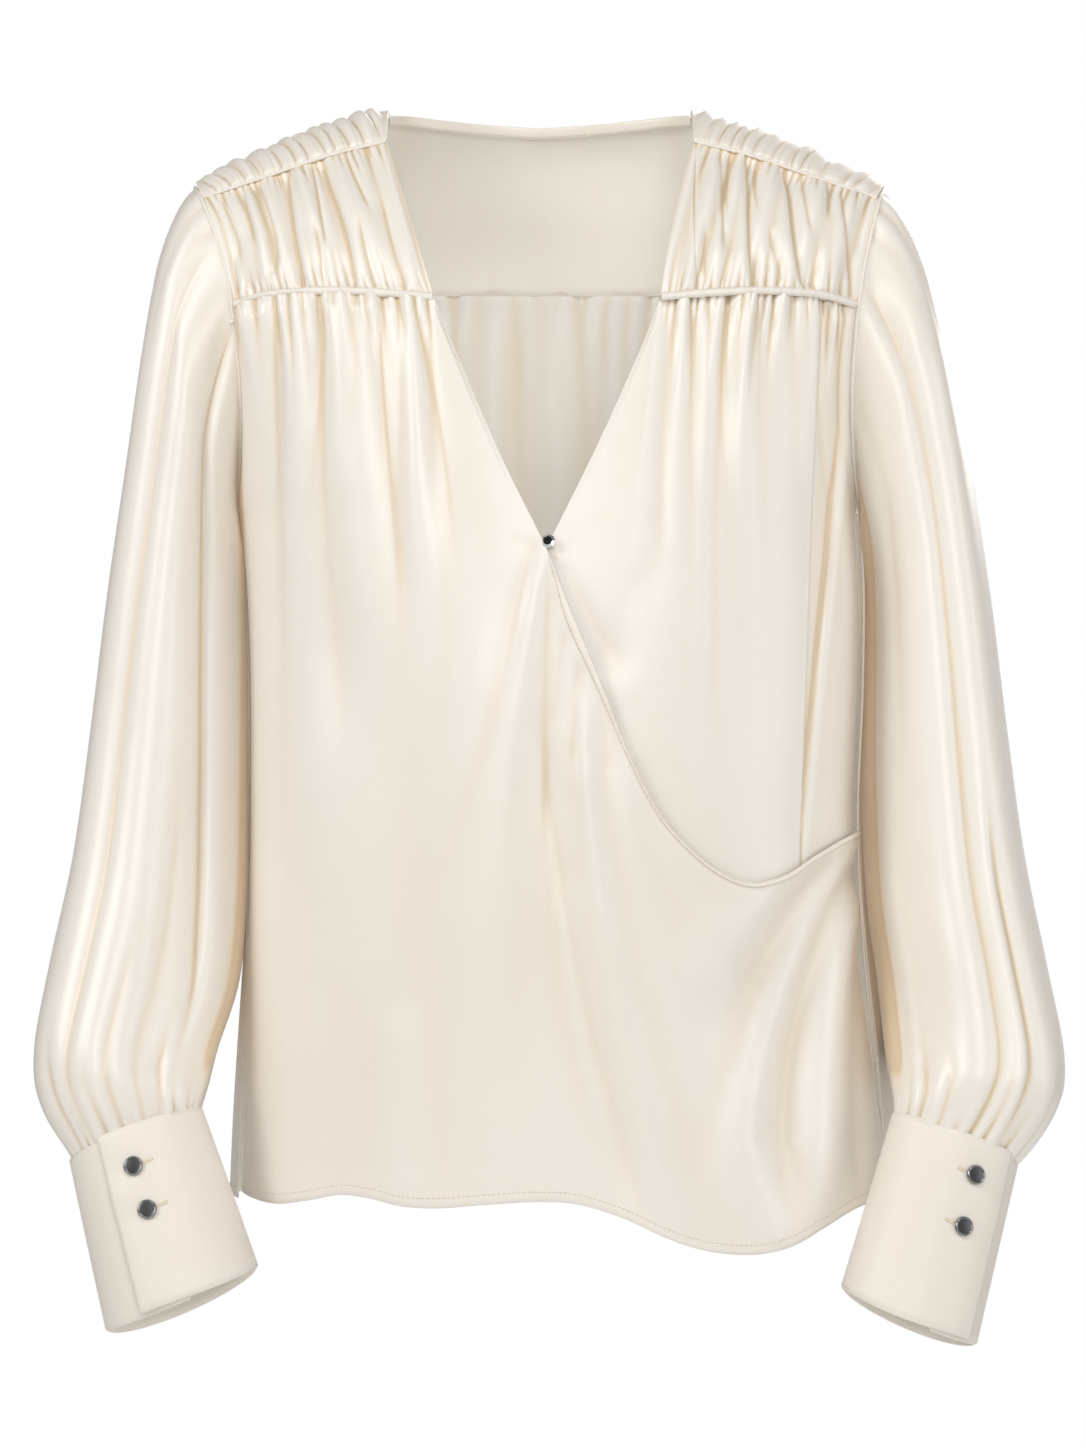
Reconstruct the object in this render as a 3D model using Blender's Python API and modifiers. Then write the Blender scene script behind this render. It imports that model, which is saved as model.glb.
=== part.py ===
"""Wrap top in ivory satin, in its worn, filled-out form with no wearer.

Metres in the finished model, millimetres in the tables below. +Z is up, the front faces -Y,
and +X is the wearer's left. The origin is the middle of the line across both shoulders,
where the wearer holds the garment. Every piece of cloth is an open surface, worked out from
the tables here, with a wall put on it by Solidify; corded seams are curves with a round bevel.
"""

from math import cos, exp, hypot, pi, radians, sin

import bmesh
import bpy
import numpy as np
from mathutils import Matrix, Vector

MM = 0.001
COLLECTION = "wrap_top"

# Walls and gaps, mm
WALL = 1.2
TRIM_WALL = 1.0
SEAM_GAP = 0.3
LAYER_GAP = 3.4            # from the overlap down to the underlap, face to face of the same side
PIPING_RADIUS = 1.6
UNDERLAP_HEM_RISE = 14.0

# Sides of the body: half widths, and depths at the centre front and centre back, mm
BODY_COLUMNS = ("z", "x_right", "x_left", "y_front", "y_back")
BODY = [
    (-70, 171, 180, -84, 98),
    (-140, 169, 180, -98, 106),
    (-205, 171, 181, -109, 110),
    (-240, 168, 184, -112, 110),
    (-300, 166, 184, -114, 110),
    (-390, 166, 181, -114, 108),
    (-450, 167, 184, -112, 109),
    (-520, 168, 191, -110, 111),
    (-630, 171, 204, -108, 114),
]
BODY_POWER = 2.25          # superellipse power of the rings

# Armhole seam of one side, round the loop from the shoulder tip by the front, mm
ARMHOLE_COLUMNS = ("turn", "x_right", "x_left", "y", "z")
ARMHOLE = [
    (0, 196, 196, 5, -21),
    (25, 191, 192, -23, -29),
    (60, 178, 183, -43, -62),
    (90, 172, 178, -50, -92),
    (115, 168, 175, -45, -128),
    (145, 168, 176, -28, -172),
    (180, 172, 181, 0, -205),
    (215, 169, 177, 30, -172),
    (245, 168, 173, 50, -122),
    (270, 172, 175, 57, -75),
    (300, 180, 181, 49, -52),
    (335, 190, 190, 30, -28),
    (360, 196, 196, 5, -21),
]
FRONT_BAND_TURN = 25
FRONT_YOKE_TURN = 90
BACK_YOKE_TURN = 270
BACK_BAND_TURN = 335

# Shoulder seams from the shoulder tip to the neck, mm
SHOULDER_COLUMNS = ("share", "x", "y_front", "z_front", "z_ridge", "y_back", "z_back")
SHOULDER = [
    (0.00, 191, -23, -29, -18, 30, -28),
    (0.35, 154, -26, -17, 1, 32, -14),
    (0.70, 118, -26, -5, 14, 32, 3),
    (1.00, 87, -23, 3, 24, 30, 23),
]
RIDGE_Y = 5.0

# Neck edge behind, from the neck point to the middle of the back, mm
BACK_NECK_COLUMNS = ("x", "y", "z")
BACK_NECK = [(87, 30, 23), (78, 42, 24), (58, 54, 23), (30, 63, 21), (0, 66, 19.5)]

BINDING_DEPTH = 6.5
BINDING_STEP = 0.8         # from the neck edge in to the band's outer face
BINDING_LEAN = 0.22        # how fast the band follows the yoke outwards as it goes down

# Yoke seam in front, from the armhole to the neckline, mm
YOKE_SEAM_COLUMNS = ("share", "x", "y", "z")
YOKE_SEAM = [
    (0.00, 172, -50, -92),
    (0.14, 156, -61, -88),
    (0.35, 133, -71, -86),
    (0.55, 110, -77, -86),
    (0.80, 80, -82, -88),
    (1.00, 59, -84, -90),
]
NECKLINE_MID = (78, -48, -27)      # neckline at the middle of the yoke
LEFT_YOKE_WIDER = (6.0, 8.0)       # the left yoke seam further out, at armhole and neckline
BACK_SEAM_Z = -75

# Top edge of the right front: yoke seam, neckline, then the wrap edge to the left side seam
TOP_EDGE_COLUMNS = ("column", "x", "z")
RIGHT_TOP_EDGE = [
    (56, -59, -90),
    (58, -46, -122),
    (61, -22, -178),
    (64, 2, -227),
    (68, 14, -257),
    (72, 24, -281),
    (76, 36, -310),
    (81, 48, -341),
    (85, 62, -370),
    (89, 78, -391),
    (92, 95, -406),
    (96, 117, -415),
    (99, 134, -412),
    (103, 154, -401),
    (108, 173, -391),
    (112, 181, -388),
]
LEFT_TOP_EDGE = [
    (56, 67, -90),
    (58, 56, -118),
    (61, 32, -172),
    (64, 5, -227),
    (70, -24, -281),
    (78, -62, -352),
    (86, -117, -392),
    (96, -171, -389),
]

# Gathers: how many, their height and how far they run from the seam, mm
GATHER_COLUMNS = 4                 # columns of points to a gather
FRONT_GATHERS = 14
FRONT_GATHER_SIZE = 1.0
FRONT_GATHER_REACH = 34
BACK_GATHERS = 24
BACK_GATHER_SIZE = 1.5
BACK_GATHER_REACH = 45
YOKE_GATHERS = 12
YOKE_GATHER_SIZE = 1.3
YOKE_GATHER_REACH = 24
BAND_FOLDS = 12
BAND_SLANT = 0.9                   # how many folds a fold crosses on its way over the band
SLEEVE_GATHERS = 24
SLEEVE_GATHER_SIZE = 1.7
SLEEVE_LENGTH = 560
SEAM_COLUMNS = FRONT_GATHERS * GATHER_COLUMNS
SEEDS = {"front": 3, "yoke": 5, "back": 8, "band": 7, "sleeve": 9}

# Fullness: how far the cloth stands out, mm
FRONT_PUFF = 2.6
BACK_PUFF = 2.4
BACK_CORNER_FLARE = 13
BACK_SIDE_BULGE = 3                # of the back beside the left side seam, seen past the front
YOKE_SWELL = 5.0
BACK_YOKE_SWELL = 4.5
BACK_YOKE_BAND_COLUMNS = 9
BACK_YOKE_NECK_COLUMNS = 14
EDGE_BAND_WIDTHS = (5.6, 2.4)      # at the button and at the side seam
HEM_TURN_Q = 0.10                  # where at the hem the threads from the neckline's foot end

# Hem of the overlap by width, mm
HEM_COLUMNS = ("x", "z")
HEM = [
    (-172, -592), (-148, -595), (-131, -592), (-112, -588), (-97, -589), (-77, -593),
    (-60, -594), (-33, -592), (0, -590), (19, -591), (34, -595), (50, -601), (66, -609),
    (84, -616), (104, -620), (124, -620), (140, -616), (156, -608), (172, -600), (205, -591),
]
BACK_HEM_Z = -597

# Long folds: from (x0, z0) to (x1, z1), bowed sideways, with widths and the height of the
# ridge (or the depth of the trough, below zero), mm
# columns: x0, z0, x1, z1, bow, width0, width1, height
RIGHT_FRONT_FOLDS = [
    (-96, -95, -66, -300, -6, 9, 13, -3.2),
    (-74, -95, -50, -240, -4, 8, 12, 2.4),
    (-124, -90, -118, -400, 6, 11, 17, -3.4),
    (-146, -95, -142, -440, 0, 10, 16, 3.2),
    (-106, -230, -66, -560, -16, 13, 22, -4.2),
    (-34, -262, -42, -540, 8, 11, 20, 3.0),
    (-2, -245, -14, -440, -3, 9, 12, 3.6),
    (12, -262, 50, -590, 8, 9, 15, -4.4),
    (32, -330, 96, -560, 10, 10, 17, 3.4),
    (176, -402, 88, -470, -12, 9, 17, -3.8),
    (182, -424, 120, -560, -12, 10, 19, 3.8),
    (190, -450, 176, -590, -4, 10, 13, -3.0),
    (-112, -500, -114, -600, 0, 15, 15, -4.2),
    (-60, -520, -58, -600, 0, 14, 16, 3.0),
]
LEFT_FRONT_FOLDS = [
    (80, -95, 70, -240, 4, 10, 14, 2.2),
    (104, -92, 100, -340, 4, 11, 16, -2.6),
    (132, -95, 140, -430, -3, 10, 12, 4.2),
    (155, -100, 161, -430, 0, 9, 11, -5.2),
]
COVERED_DEPTH = -7.0               # how far in the underlap lies where the overlap covers it
BACK_FOLDS = [
    (-120, -90, -128, -480, 6, 8, 16, 3.2),
    (-88, -90, -80, -560, -5, 8, 15, -3.4),
    (-46, -90, -52, -520, 4, 7, 14, 3.0),
    (-12, -90, -6, -400, 0, 6, 13, -3.0),
    (24, -90, 30, -540, -4, 7, 15, 3.2),
    (62, -90, 66, -470, 3, 7, 13, -3.2),
    (98, -90, 112, -560, 4, 8, 16, 3.4),
    (136, -100, 146, -560, 0, 8, 14, -3.4),
    (-150, -220, -154, -596, 0, 9, 15, -3.6),
]

# Sleeves: rings by their outer and inner ends, their middle and half depth in Y, mm
SLEEVE_COLUMNS = ("x_out", "z_out", "x_in", "z_in", "y_mid", "half_depth")
SLEEVES = {
    "right": [
        (199, -22, 175, -207, 3, 53),
        (209, -34, 175, -216, 3, 58),
        (218, -66, 174, -231, 3, 65),
        (226, -112, 171, -252, 2, 70),
        (235, -176, 168, -285, 1, 73),
        (246, -254, 168, -330, -2, 74),
        (255, -330, 168, -378, -7, 74),
        (264, -400, 171, -428, -16, 74),
        (276, -460, 178, -474, -28, 74),
        (284, -510, 183, -511, -42, 68),
        (281, -540, 187, -529, -53, 57),
        (270, -560, 189, -537, -60, 44),
        (264, -570, 189, -541, -61, 34),
    ],
    "left": [
        (199, -22, 184, -207, 3, 53),
        (210, -34, 186, -216, 3, 58),
        (221, -66, 188, -231, 3, 65),
        (232, -112, 189, -252, 2, 70),
        (244, -176, 190, -285, 1, 73),
        (256, -254, 190, -330, -2, 74),
        (265, -330, 191, -378, -7, 74),
        (274, -400, 193, -428, -16, 74),
        (285, -460, 196, -474, -30, 73),
        (294, -512, 198, -512, -44, 66),
        (291, -541, 199, -530, -54, 56),
        (280, -562, 199, -539, -61, 43),
        (268, -573, 197, -543, -63, 33),
    ],
}
ARMHOLE_STEP = 1.9                 # from the body's armhole edge out to the sleeve's
CUFF_SEAM_RISE = 0.016             # the sleeve's end above the cuff, as a share of its depth
SLEEVE_AXIS_X = (205, 235)         # a line down the middle of the sleeve, top and bottom
SLEEVE_SKEW = {-1: -6.0, 1: -34.0}  # how far forward the inner side of each ring lies
SLEEVE_END_PITCH = 0.24            # rise of the front of the last rings, as their cuff has
SLEEVE_COLUMN_COUNTS = (24, 24, 24, 24, 24, 24, 24, 24, 24, 24, 48, 96, 96)
# Long folds of a sleeve
# columns: turn, start, end (shares of the length), width in degrees, height
SLEEVE_FOLDS = [
    (15, 0.10, 0.86, 13, -4.5),
    (45, 0.04, 0.94, 13, 4.5),
    (75, 0.14, 0.92, 12, -5.5),
    (105, 0.10, 0.95, 12, 4.5),
    (135, 0.24, 0.94, 12, -5.0),
    (163, 0.55, 0.94, 12, 1.5),
    (210, 0.20, 0.92, 13, -4.0),
    (240, 0.12, 0.94, 12, 4.0),
    (270, 0.22, 0.92, 12, -5.0),
    (300, 0.10, 0.94, 13, 4.5),
    (330, 0.20, 0.88, 12, -4.0),
]

# Cuffs
# columns: x, y, z of each edge's middle, half width, half depth, roll and pitch in degrees
CUFFS = {
    "right": {"top": (226, -61, -556.5, 40, 31, 22, 12), "bottom": (199, -82, -645, 46, 38, 23, 19)},
    "left": {"top": (232, -63, -559, 38, 31, 22, 12), "bottom": (205, -85, -654, 41, 36, 23, 19)},
}
CUFF_SEGMENTS = 28
CUFF_EDGE_TURN = {"right": 61, "left": 37}      # the flap's edge, in degrees from the outer side
CUFF_OVERLAP_TURN = 34
CUFF_FLAP_LIFT = 2.2
CUFF_FLAP_FLARE = 1.6              # more lift of the flap at the cuff's lower edge
CUFF_BUTTONS = {"right": ((83, 0.25), (84, 0.52)), "left": ((68, 0.21), (67, 0.50))}

BUTTON_RADIUS = 5.4
BUTTON_THICK = 2.4
FRONT_BUTTON_RADIUS = 4.2
FRONT_BUTTON_THICK = 1.4
FRONT_BUTTON_PLACE = (4.5, -226.5)

IVORY = (0.82, 0.76, 0.66, 1.0)
IVORY_SHADE = (0.76, 0.70, 0.60, 1.0)
METAL = (0.55, 0.55, 0.56, 1.0)


def smooth(places, values, at):
    """Cubic curve through (places, values), read at one place; flat slopes are not forced."""
    places = np.asarray(places, float)
    values = np.asarray(values, float)
    slopes = np.gradient(values, places)
    at = min(max(at, places[0]), places[-1])
    k = min(int(np.searchsorted(places, at, side="right")) - 1, len(places) - 2)
    span = places[k + 1] - places[k]
    t = (at - places[k]) / span
    t2, t3 = t * t, t * t * t
    return float((2 * t3 - 3 * t2 + 1) * values[k] + (t3 - 2 * t2 + t) * span * slopes[k]
                 + (3 * t2 - 2 * t3) * values[k + 1] + (t3 - t2) * span * slopes[k + 1])


def column(table, names, name):
    """One named column of a table."""
    return [row[names.index(name)] for row in table]


def read(table, names, by, want, at):
    """Value of column want where column by has the value at, on a smooth curve."""
    pairs = sorted(zip(column(table, names, by), column(table, names, want)))
    return smooth([p[0] for p in pairs], [p[1] for p in pairs], at)


def mix(a, b, t):
    return a + (b - a) * t


def ease(t):
    t = min(max(t, 0.0), 1.0)
    return t * t * (3 - 2 * t)


def wobble(index, salt):
    """A repeatable number from 0 to 1 for each gather."""
    return (sin(index * 12.9898 + salt * 78.233) * 43758.5453) % 1.0


def armhole(turn, side):
    """Point of the armhole seam at a turn in degrees; side is -1 right, +1 left."""
    turn = turn % 360
    across = "x_right" if side < 0 else "x_left"
    x, y, z = (read(ARMHOLE, ARMHOLE_COLUMNS, "turn", name, turn) for name in (across, "y", "z"))
    return Vector((side * x, y, z))


ARMHOLE_TURNS = {-1: range(180, FRONT_YOKE_TURN - 31, -3), 1: range(180, BACK_YOKE_TURN + 31, 3)}
ARMHOLE_HALVES = {(side, face): [armhole(turn, side) for turn in ARMHOLE_TURNS[face]]
                  for side in (-1, 1) for face in (-1, 1)}
UNDERARM_Z = armhole(180, 1).z


def body_edge(z, side, face):
    """Outer end of a body ring: the side seam, or the armhole above the underarm."""
    x = read(BODY, BODY_COLUMNS, "z", "x_right" if side < 0 else "x_left", z)
    y = 0.0
    if z > UNDERARM_Z:
        half = ARMHOLE_HALVES[side, face]
        heights = [p.z for p in half]
        x = float(np.interp(z, heights, [abs(p.x) for p in half]))
        y = float(np.interp(z, heights, [p.y for p in half]))
    return side * x, y + face * SEAM_GAP * 0.6


def body_point(q, z, face):
    """Point of the body's ring: q runs from -1, right side seam, to +1, left side seam."""
    edge_x, edge_y = body_edge(z, -1 if q < 0 else 1, face)
    centre_y = read(BODY, BODY_COLUMNS, "z", "y_front" if face < 0 else "y_back", z)
    angle = (1 - min(abs(q), 1.0)) * pi / 2
    power = 2 / BODY_POWER
    return Vector((edge_x * cos(angle) ** power if angle < pi / 2 else 0.0,
                   mix(edge_y, centre_y, sin(angle) ** power), z))


def ring_place(x, z, face):
    """The q of a point given by its x."""
    edge_x, _ = body_edge(z, -1 if x < 0 else 1, face)
    share = min(abs(x / edge_x), 1.0) ** (BODY_POWER / 2)
    angle = float(np.arccos(share))
    return (1 - angle * 2 / pi) * (-1 if x < 0 else 1)


def body_normal(q, z, face):
    """Outward direction of the body's surface."""
    step = 0.02
    low = max(q - step, -0.999)
    high = min(q + step, 0.999)
    along = body_point(high, z, face) - body_point(low, z, face)
    down = body_point(q, z - 4, face) - body_point(q, z + 4, face)
    normal = along.cross(down).normalized()
    outward = Vector((body_point(q, z, face).x, face * 60.0, 0))
    return normal if normal.dot(outward) > 0 else -normal


def fold_height(folds, x, z):
    """Sum of the long folds at a point of the front or back, seen flat."""
    total = 0.0
    for x0, z0, x1, z1, bow, width0, width1, height in folds:
        length = hypot(x1 - x0, z1 - z0)
        ux, uz = (x1 - x0) / length, (z1 - z0) / length
        t = ((x - x0) * ux + (z - z0) * uz) / length
        if t < -0.12 or t > 1.12:
            continue
        inside = min(max(t, 0.0), 1.0)
        across = (x - x0) * uz - (z - z0) * ux - bow * 4 * inside * (1 - inside)
        width = mix(width0, width1, inside)
        fade = ease((t + 0.12) / 0.24) * ease((1.12 - t) / 0.35)
        total += height * fade * exp(-(across / width) ** 2)
    return total


def right_front_height(x, z):
    return fold_height(RIGHT_FRONT_FOLDS, x, z)


def soft_min(a, b, blend):
    return b + blend * (-float(np.logaddexp(0.0, (b - a) / blend)))


def wrap_edge_z(x):
    """Height of the overlap's edge at a width, from the crossing to the left side seam."""
    return read(RIGHT_TOP_EDGE, TOP_EDGE_COLUMNS, "x", "z", max(x, 2.0))


def left_front_height(x, z):
    """Underlap: its own folds where it shows, plain and further in where it is covered."""
    own = fold_height(LEFT_FRONT_FOLDS, x, z) - 1.0
    covered = ease((wrap_edge_z(x) + 12 - z) / 24) if x > 2 else ease((-z - 226) / 24 + 0.5)
    height = mix(own, COVERED_DEPTH, covered)
    return soft_min(height, right_front_height(x, z) - LAYER_GAP, 0.8)


def gather_height(place, count, distance, size, reach, salt):
    """Short gathers at a seam: place is counted in gathers, distance is from the seam."""
    index = min(max(int(place + 0.5), 0), count)
    strength = 0.65 + 0.35 * wobble(index, salt)
    length = reach * (0.5 + 0.9 * wobble(index, salt + 1))
    ends = ease(place / 0.75) * ease((count - place) / 0.75)
    return size * strength * cos(2 * pi * place) * exp(-distance / length) * ends


def yoke_extra(share, side):
    """The left yoke seam lies a little further from the middle than the right one."""
    return mix(*LEFT_YOKE_WIDER, share) if side > 0 else 0.0


def edge_reader(table, side):
    """The top edge of a front by its column number, with the yoke seam's columns before it."""
    def point(number):
        if number <= SEAM_COLUMNS:
            share = number / SEAM_COLUMNS
            x = read(YOKE_SEAM, YOKE_SEAM_COLUMNS, "share", "x", share)
            z = read(YOKE_SEAM, YOKE_SEAM_COLUMNS, "share", "z", share)
            x += yoke_extra(share, side)
            return side * x, z - PIPING_RADIUS - SEAM_GAP
        x = read(table, TOP_EDGE_COLUMNS, "column", "x", number)
        return x, read(table, TOP_EDGE_COLUMNS, "column", "z", number)
    return point


def front_point(side, number, last, table, row_share, lift=0.0):
    """A point of a front panel by column number and by its share of the way to the hem."""
    top_x, top_z = edge_reader(table, side)(number)
    top_q = ring_place(top_x, top_z, -1)
    if number == 0:
        top_q = float(side)
    if number == last:
        top_q = -float(side)
    seam_end = SEAM_COLUMNS / last
    share = number / last
    turn_q = -side * HEM_TURN_Q
    if share <= seam_end:
        hem_q = mix(float(side), turn_q, share / seam_end)
    else:
        hem_q = mix(turn_q, -float(side), (share - seam_end) / (1 - seam_end))
    q = mix(top_q, hem_q, ease(row_share) * 0.6 + row_share * 0.4)
    hem_x = body_point(hem_q, HEM[0][1], -1).x
    hem_z = read(HEM, HEM_COLUMNS, "x", "z", min(max(hem_x, HEM[0][0]), HEM[-1][0]))
    if side > 0:
        hem_z += UNDERLAP_HEM_RISE
    z = mix(top_z, hem_z, row_share)
    base = body_point(q, z, -1)
    height = right_front_height(base.x, z) if side < 0 else left_front_height(base.x, z)
    if number <= SEAM_COLUMNS:
        place = number / GATHER_COLUMNS
        distance = row_share * (top_z - hem_z)
        height += gather_height(place, FRONT_GATHERS, distance, FRONT_GATHER_SIZE,
                                FRONT_GATHER_REACH, SEEDS["front"] + side)
        height += FRONT_PUFF * ease(distance / 10) * exp(-distance / 60)
    height *= side_fade(q, z)
    return base + body_normal(q, z, -1) * (height + lift)


def side_fade(q, z):
    """Folds die out towards the armhole, where the panel is sewn to the sleeve."""
    along_armhole = ease((z - UNDERARM_Z) / 30 + 0.5)
    return 1 - along_armhole * (1 - ease((1 - abs(q)) / 0.10))


def front_rows(side, table):
    """Rows of a front panel, the columns halved twice below the gathers."""
    last = table[-1][0]
    shares = (0, 0.02, 0.05, 0.09, 0.15, 0.22, 0.31, 0.41, 0.52, 0.63, 0.74, 0.85, 0.94, 1.0)
    steps = (1, 1, 1, 2, 2, 4, 4, 4, 4, 4, 4, 4, 4, 4)
    return [[front_point(side, number, last, table, share) for number in range(0, last + 1, step)]
            for share, step in zip(shares, steps)]


def back_point(number, last, row_share):
    """A point of the lower back by column number and by its share of the way to the hem."""
    q = mix(-1.0, 1.0, number / last)
    z = mix(BACK_SEAM_Z - 2 * SEAM_GAP, BACK_HEM_Z, row_share)
    base = body_point(q, z, 1)
    distance = row_share * (BACK_SEAM_Z - BACK_HEM_Z)
    height = fold_height(BACK_FOLDS, base.x, z)
    height += gather_height(number / last * BACK_GATHERS, BACK_GATHERS, distance,
                            BACK_GATHER_SIZE, BACK_GATHER_REACH, SEEDS["back"])
    height += BACK_PUFF * ease(distance / 12) * exp(-distance / 80)
    corner = exp(-((abs(q) - 0.84) / 0.13) ** 2)
    height += BACK_CORNER_FLARE * corner * ease((row_share - 0.45) / 0.5)
    beside = exp(-((q - 0.91) / 0.05) ** 2)
    height += BACK_SIDE_BULGE * beside * ease((UNDERARM_Z - z) / 60) * ease((z - BACK_HEM_Z) / 60)
    height *= side_fade(q, z)
    return base + body_normal(q, z, 1) * height


def back_rows():
    last = BACK_GATHERS * GATHER_COLUMNS
    shares = (0, 0.02, 0.055, 0.10, 0.17, 0.27, 0.38, 0.50, 0.62, 0.74, 0.86, 1.0)
    steps = (1, 1, 1, 2, 2, 4, 4, 4, 4, 4, 4, 4)
    return [[back_point(number, last, share) for number in range(0, last + 1, step)]
            for share, step in zip(shares, steps)]


def shoulder_point(share, side, edge):
    """A point of the shoulder band's front edge, ridge or back edge."""
    x = read(SHOULDER, SHOULDER_COLUMNS, "share", "x", share)
    z = read(SHOULDER, SHOULDER_COLUMNS, "share", "z_" + edge, share)
    if edge == "ridge":
        return Vector((side * (x + 5 * (1 - share) ** 3), RIDGE_Y, z))
    return Vector((side * x, read(SHOULDER, SHOULDER_COLUMNS, "share", "y_" + edge, share), z))


def yoke_seam(share, side):
    x, y, z = (read(YOKE_SEAM, YOKE_SEAM_COLUMNS, "share", name, share) for name in "xyz")
    return Vector((side * (x + yoke_extra(share, side)), y, z))


def patch(top, bottom, start, end, p, r):
    """Coons patch between four edges."""
    ruled = top(p).lerp(bottom(p), r)
    corner_start = top(0).lerp(bottom(0), r)
    corner_end = top(1).lerp(bottom(1), r)
    return ruled + (start(r) - corner_start) * (1 - p) + (end(r) - corner_end) * p


def patch_normal(surface, p, r, outward):
    step = 0.01
    p0, p1 = max(p - step, 0), min(p + step, 1)
    r0, r1 = max(r - step, 0), min(r + step, 1)
    normal = (surface(p1, r) - surface(p0, r)).cross(surface(p, r1) - surface(p, r0)).normalized()
    return normal if normal.dot(outward) > 0 else -normal


def neckline(share, side):
    """Inner edge of the front yoke, from the band down to the yoke seam."""
    ends = shoulder_point(1.0, side, "front"), yoke_seam(1.0, side)
    mid = Vector((side * NECKLINE_MID[0], NECKLINE_MID[1], NECKLINE_MID[2]))
    bend = mid - ends[0].lerp(ends[1], 0.33)
    return ends[0].lerp(ends[1], share) + bend * (4 * share * (1 - share)) * 0.8


def front_yoke_rows(side):
    last = YOKE_GATHERS * GATHER_COLUMNS
    seed = SEEDS["yoke"] + side
    inset = Vector((0, 0, 2 * SEAM_GAP))
    cord = Vector((0, 0, PIPING_RADIUS + SEAM_GAP + WALL * 0.6))

    def surface(p, r):
        return patch(lambda t: shoulder_point(t, side, "front") - inset,
                     lambda t: yoke_seam(t, side) + cord,
                     lambda t: armhole(mix(FRONT_BAND_TURN, FRONT_YOKE_TURN, t), side)
                     + cord * t - inset * (1 - t),
                     lambda t: neckline(t, side) + cord * t - inset * (1 - t), p, r)

    rows = []
    for share, step in ((0.0, 1), (0.12, 1), (0.30, 2), (0.52, 2), (0.72, 2), (0.88, 1), (1.0, 1)):
        row = []
        for number in range(0, last + 1, step):
            p = number / last
            height = 0.0
            for distance in (share * 90, (1 - share) * 90):
                height += gather_height(p * YOKE_GATHERS, YOKE_GATHERS, distance,
                                        YOKE_GATHER_SIZE, YOKE_GATHER_REACH, seed)
            height += YOKE_SWELL * sin(pi * share) ** 0.7 * sin(pi * min(max(p, 0.02), 0.98)) ** 0.5
            normal = patch_normal(surface, p, share, Vector((0, -1, 0.4)))
            row.append(surface(p, share) + normal * height)
        rows.append(row)
    return rows


def band_rows(side):
    """Ruched shoulder band, its folds slanting across it."""
    last = BAND_FOLDS * GATHER_COLUMNS
    rows = []
    for r in (0.0, 0.30, 0.65, 1.0):
        row = []
        for number in range(last + 1):
            p = number / last
            front = shoulder_point(p, side, "front")
            ridge = shoulder_point(p, side, "ridge")
            back = shoulder_point(p, side, "back")
            chord = front.lerp(back, r)
            rise = (ridge - front.lerp(back, 0.5)) * sin(pi * r) ** 0.75
            outward = Vector((0, 1.6 * (r - 0.5), 1.0)).normalized()
            place = p * BAND_FOLDS + BAND_SLANT * (r - 0.5)
            ends = ease(p * BAND_FOLDS / 0.8) * ease((1 - p) * BAND_FOLDS / 0.8)
            ruche = (0.7 + 1.5 * sin(pi * r)) * cos(2 * pi * place) * ends
            ruche += (wobble(int(place + 0.5), SEEDS["band"]) - 0.5) * 1.2 * sin(pi * r) * ends
            row.append(chord + rise + outward * (ruche + 0.4))
        rows.append(row)
    return rows


def back_neck(share):
    """Back neck edge from the right neck point to the left one."""
    t = 2 * share - 1
    span = np.cumsum([0] + [(Vector(a) - Vector(b)).length
                            for a, b in zip(BACK_NECK, BACK_NECK[1:])])
    at = span[-1] * (1 - abs(t))
    x, y, z = (smooth(span, column(BACK_NECK, BACK_NECK_COLUMNS, name), at) for name in "xyz")
    return Vector((x if t > 0 else -x, y, z))


def back_yoke_surface(p, r):
    total = 2 * BACK_YOKE_BAND_COLUMNS + BACK_YOKE_NECK_COLUMNS
    band_share = BACK_YOKE_BAND_COLUMNS / total
    seam_shift = Vector((0, 2.0, -SEAM_GAP))
    seam_rise = Vector((0, 0, 2 * SEAM_GAP))

    def top(t):
        if t < band_share:
            return shoulder_point(t / band_share, -1, "back") + seam_shift
        if t > 1 - band_share:
            return shoulder_point((1 - t) / band_share, 1, "back") + seam_shift
        return back_neck((t - band_share) / (1 - 2 * band_share)) + seam_shift

    def bottom(t):
        return body_point(mix(-1.0, 1.0, t), BACK_SEAM_Z, 1) + seam_rise

    def armhole_edge(side):
        return lambda t: (armhole(mix(BACK_BAND_TURN, BACK_YOKE_TURN, t), side)
                          + seam_shift * (1 - t) + seam_rise * t)

    point = patch(top, bottom, armhole_edge(-1), armhole_edge(1), p, r)
    swell = BACK_YOKE_SWELL * sin(pi * r) ** 0.8 * ease(p / 0.08) * ease((1 - p) / 0.08)
    return point + Vector((0, 0.75, 0.55)) * swell


def back_yoke_rows():
    total = 2 * BACK_YOKE_BAND_COLUMNS + BACK_YOKE_NECK_COLUMNS
    return [[back_yoke_surface(number / total, r) for number in range(total + 1)]
            for r in (0.0, 0.2, 0.5, 0.8, 1.0)]


def neck_binding_rows():
    """Narrow band inside the back neck edge."""
    rows = []
    for drop in (0.6, BINDING_DEPTH):
        row = []
        for number in range(15):
            share = mix(0.03, 0.97, number / 14)
            edge = back_neck(share)
            inward = Vector((-edge.x * 0.35, -edge.y, 0)).normalized()
            away = BINDING_STEP - BINDING_LEAN * drop
            row.append(edge + inward * away - Vector((0, 0, drop)))
        rows.append(row)
    return rows


def sleeve_ring(side, v):
    """Reader of one sleeve ring: v is the share of the way from the armhole to the cuff."""
    table = SLEEVES["right" if side < 0 else "left"]
    place = v * (len(table) - 1)
    values = [smooth(range(len(table)), column(table, SLEEVE_COLUMNS, name), place)
              for name in SLEEVE_COLUMNS]
    return values


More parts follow.
